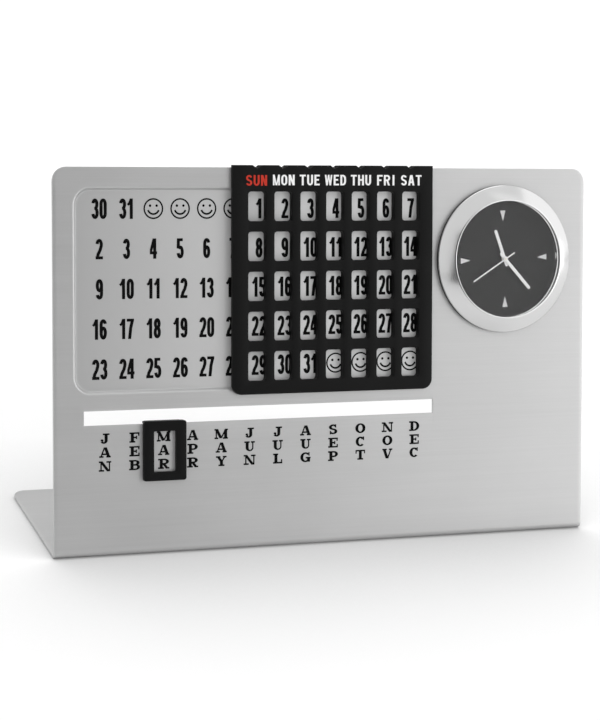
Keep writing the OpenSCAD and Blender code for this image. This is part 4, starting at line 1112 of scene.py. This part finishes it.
# %% [markdown]
# ## The movement and the back
# The pieces inside the clock keep their CAD shapes: turned brass wheels, moulded plates, a wound coil, a
# board, a button cell. Each finish says how its piece is made: brass has cutting marks, the coil's wire
# lies in even turns, the board has a lacquered weave, and plated screws are brushed.

# %% Finishes of the works
def cut_brass():
    brass = Finish("brass")
    mark = brass.noise((2500, 400, 2500))
    tarnish = brass.noise((220, 220, 220), detail=3.0).between(0.4, 0.8)
    return brass.surface(
        Base_Color=brass.mix(tarnish, (0.72, 0.53, 0.22, 1), (0.5, 0.34, 0.14, 1)),
        Roughness=0.24 + 0.12 * mark + 0.1 * tarnish, Metallic=1.0, Normal=brass.bump(mark, 2))


def wound_wire():
    """Turns of enamelled wire side by side along x: a sine wave of the wire's pitch gives each its round."""
    wire = Finish("copper_wire")
    along = wire.node("SeparateXYZ", {0: wire.node("TexCoord", out="Object")}, out="X")
    wire_pitch = 0.00012
    angle = along * (2 * math.pi / wire_pitch)
    turns = angle.math("SINE", angle)
    flaw = wire.noise((800, 800, 800))
    return wire.surface(
        Base_Color=wire.mix(0.5 + 0.25 * turns + 0.25 * flaw, (0.3, 0.1, 0.03, 1), (0.62, 0.25, 0.1, 1)),
        Roughness=0.3 + 0.1 * flaw, Metallic=1.0, Normal=wire.bump(0.5 * turns, 20))


def lacquered_board():
    board = Finish("board_green")
    weave = board.noise((3000, 3000, 3000), detail=1.0)
    blot = board.noise((300, 300, 300)).between(0.4, 0.7)
    return board.surface(
        Base_Color=board.mix(0.5 * weave + 0.5 * blot, (0.01, 0.08, 0.025, 1), (0.02, 0.16, 0.05, 1)),
        Roughness=0.25 + 0.15 * weave, Normal=board.bump(weave, 6))


def plain_metal(name, low, high, roughness, stretch=(200, 4000, 4000), relief=2):
    """Metal with a drawn or brushed grain along x."""
    metal = Finish(name)
    grain = metal.noise(stretch)
    cloud = metal.noise((150, 150, 150))
    return metal.surface(Base_Color=metal.mix(0.5 * grain + 0.5 * cloud, low, high),
                         Roughness=roughness + 0.12 * grain + 0.06 * cloud, Metallic=1.0,
                         Normal=metal.bump(grain, relief))


finishes = {
    "lens_glass": lens_glass(), "case_plastic": case_plastic,
    "ring_plastic": moulded("ring_plastic", 0.02, 0.5),
    "movement_plastic": moulded("movement_plastic", 0.62, 0.4),
    "brass": cut_brass(), "screw_steel": plain_metal("screw_steel", grey(0.45), grey(0.6), 0.2),
    "magnet": plain_metal("magnet", grey(0.06), grey(0.12), 0.45, (900, 900, 900), 4),
    "stator_iron": plain_metal("stator_iron", grey(0.25), grey(0.36), 0.3),
    "copper_wire": wound_wire(), "board_green": lacquered_board(),
    "can_metal": plain_metal("can_metal", grey(0.6), grey(0.72), 0.15, (3000, 300, 3000)),
    "spring_metal": plain_metal("spring_metal", (0.6, 0.5, 0.25, 1), (0.72, 0.62, 0.35, 1), 0.25),
    "cell_metal": plain_metal("cell_metal", grey(0.5), grey(0.62), 0.22, (600, 600, 600), 3),
}
slots = {part["node"]: part["material_slot"] for part in frame["record"]["subparts"]}
kept = {name: node for name, node in frame["nodes"].items() if not node.hide_render}
for name, node in kept.items():
    node.data.materials.clear()
    node.data.materials.append(finishes[slots[name]])
print(len(kept), "CAD pieces keep their shape:", ", ".join(sorted(kept)))

# %% [markdown]
# ## Studio
# The photograph has a white sweep and even light that is stronger from the right, which shows as the
# white sector of the bezel and as the brighter right half of the steel. Four softboxes make it: on the
# right, low on the right, in front on the right, and above. The world is white where it is seen, directly,
# in metal or through glass, and a little weaker as light. The floor is a pale matt plane with painted
# shade in its colour: it is darkened where little sky reaches it, which deepens the soft shadow under the
# foot, and the rest of it stays white. Three cards that only reflections see give the metal its tones:
# dark ones in front and behind, a bright one at the upper right.

# %% World and floor
WORLD_LIGHT = 0.78


def seen(finish):
    """1 for rays from the camera, from a reflection or through glass, 0 for those that only carry light."""
    ray = finish.tree.nodes.new("ShaderNodeLightPath")
    kinds = [Value(finish, ray.outputs[k]) for k in ("Is Camera Ray", "Is Glossy Ray", "Is Transmission Ray")]
    return (kinds[0] + kinds[1] + kinds[2]).between(0.0, 1.0)


world = bpy.data.worlds.new("white_room")
world.use_nodes = True
bpy.context.scene.world = world
room = Finish("white_room", world.node_tree)
sky = room.node("Background", {"Color": grey(1.0), "Strength": WORLD_LIGHT + (1 - WORLD_LIGHT) * seen(room)})
room.feed(room.output.inputs["Surface"], sky)

floor_paint = Finish("floor_paint")
# Painted shade: the floor's colour darkens where ambient occlusion finds little open sky, which deepens the
# contact shadow under the foot
sky_openness_painted_shade = floor_paint.node("AmbientOcclusion", {"Distance": 0.09}, out="AO", samples=8)
floor_paint.surface(Base_Color=floor_paint.mix((0.3 * floor_paint.noise((3, 3, 3)) + sky_openness_painted_shade) - 0.15,
                                               grey(0.36), grey(0.93)),
                    Roughness=0.9, Specular_IOR_Level=0.0, Emission_Color=grey(1.0), Emission_Strength=0.05)
SQUARE = ((-1, -1), (1, -1), (1, 1), (-1, 1))       # corners of the floor and of the cards
FLOOR_HALF = 6
floor_mesh = bpy.data.meshes.new("floor")
floor_mesh.from_pydata([(FLOOR_HALF * a, FLOOR_HALF * b, 0) for a, b in SQUARE], [], [(0, 1, 2, 3)])
floor_mesh.materials.append(floor_paint.material)
floor = bpy.data.objects.new("floor", floor_mesh)
bpy.context.scene.collection.objects.link(floor)

# %% Lamps
def softbox(name, place, aim, width, height, brightness, shadow=True):
    """A rectangular lamp that faces aim. Its power follows from how bright its face should look."""
    lamp = bpy.data.lights.new(name, "AREA")
    lamp.shape, lamp.size, lamp.size_y = "RECTANGLE", width, height
    lamp.energy = brightness * math.pi * width * height
    lamp.use_shadow = shadow
    made = bpy.data.objects.new(name, lamp)
    made.location = place
    made.rotation_euler = (Vector(aim) - Vector(place)).to_track_quat("-Z", "Y").to_euler()
    bpy.context.scene.collection.objects.link(made)


def card(name, place, width, height, shade):
    """An upright board that only reflections see: a dark one takes some of the white room out of them."""
    x, y, z = place
    board = bpy.data.meshes.new(name)
    board.from_pydata([(x + a * width / 2, y, z + b * height / 2) for a, b in SQUARE], [], [(0, 1, 2, 3)])
    paint = Finish(name)
    glow = paint.mix(paint.noise((4, 4, 4)), grey(0.95 * shade), grey(1.05 * shade))
    board.materials.append(paint.surface(Base_Color=grey(0.0), Roughness=1.0, Specular_IOR_Level=0.0,
                                         Emission_Color=glow, Emission_Strength=1.0))
    made = bpy.data.objects.new(name, board)
    made.visible_camera = made.visible_diffuse = made.visible_shadow = made.visible_transmission = False
    bpy.context.scene.collection.objects.link(made)


PANEL_MIDDLE = (0, 0, 0.08)
softbox("right_box", (1.0, 0.1, 0.5), PANEL_MIDDLE, 0.9, 1.0, 0.42)
softbox("top_box", (0.1, 0.6, 1.25), (0, 0, 0), 1.2, 1.0, 1.7)
softbox("low_right_box", (0.95, -0.35, 0.12), PANEL_MIDDLE, 0.7, 0.25, 1.6)
softbox("front_right_box", (0.68, -0.62, 0.35), PANEL_MIDDLE, 0.6, 0.7, 0.9, shadow=False)
card("front_card", (-0.025, -0.38, 0.25), 0.36, 0.44, 0.12)
card("over_card", (0.7, -0.25, 1.15), 0.75, 0.8, 1.25)
card("back_card", (0.15, 0.7, 0.3), 0.9, 0.55, 0.2)
bpy.context.scene.view_settings.view_transform = "Standard"
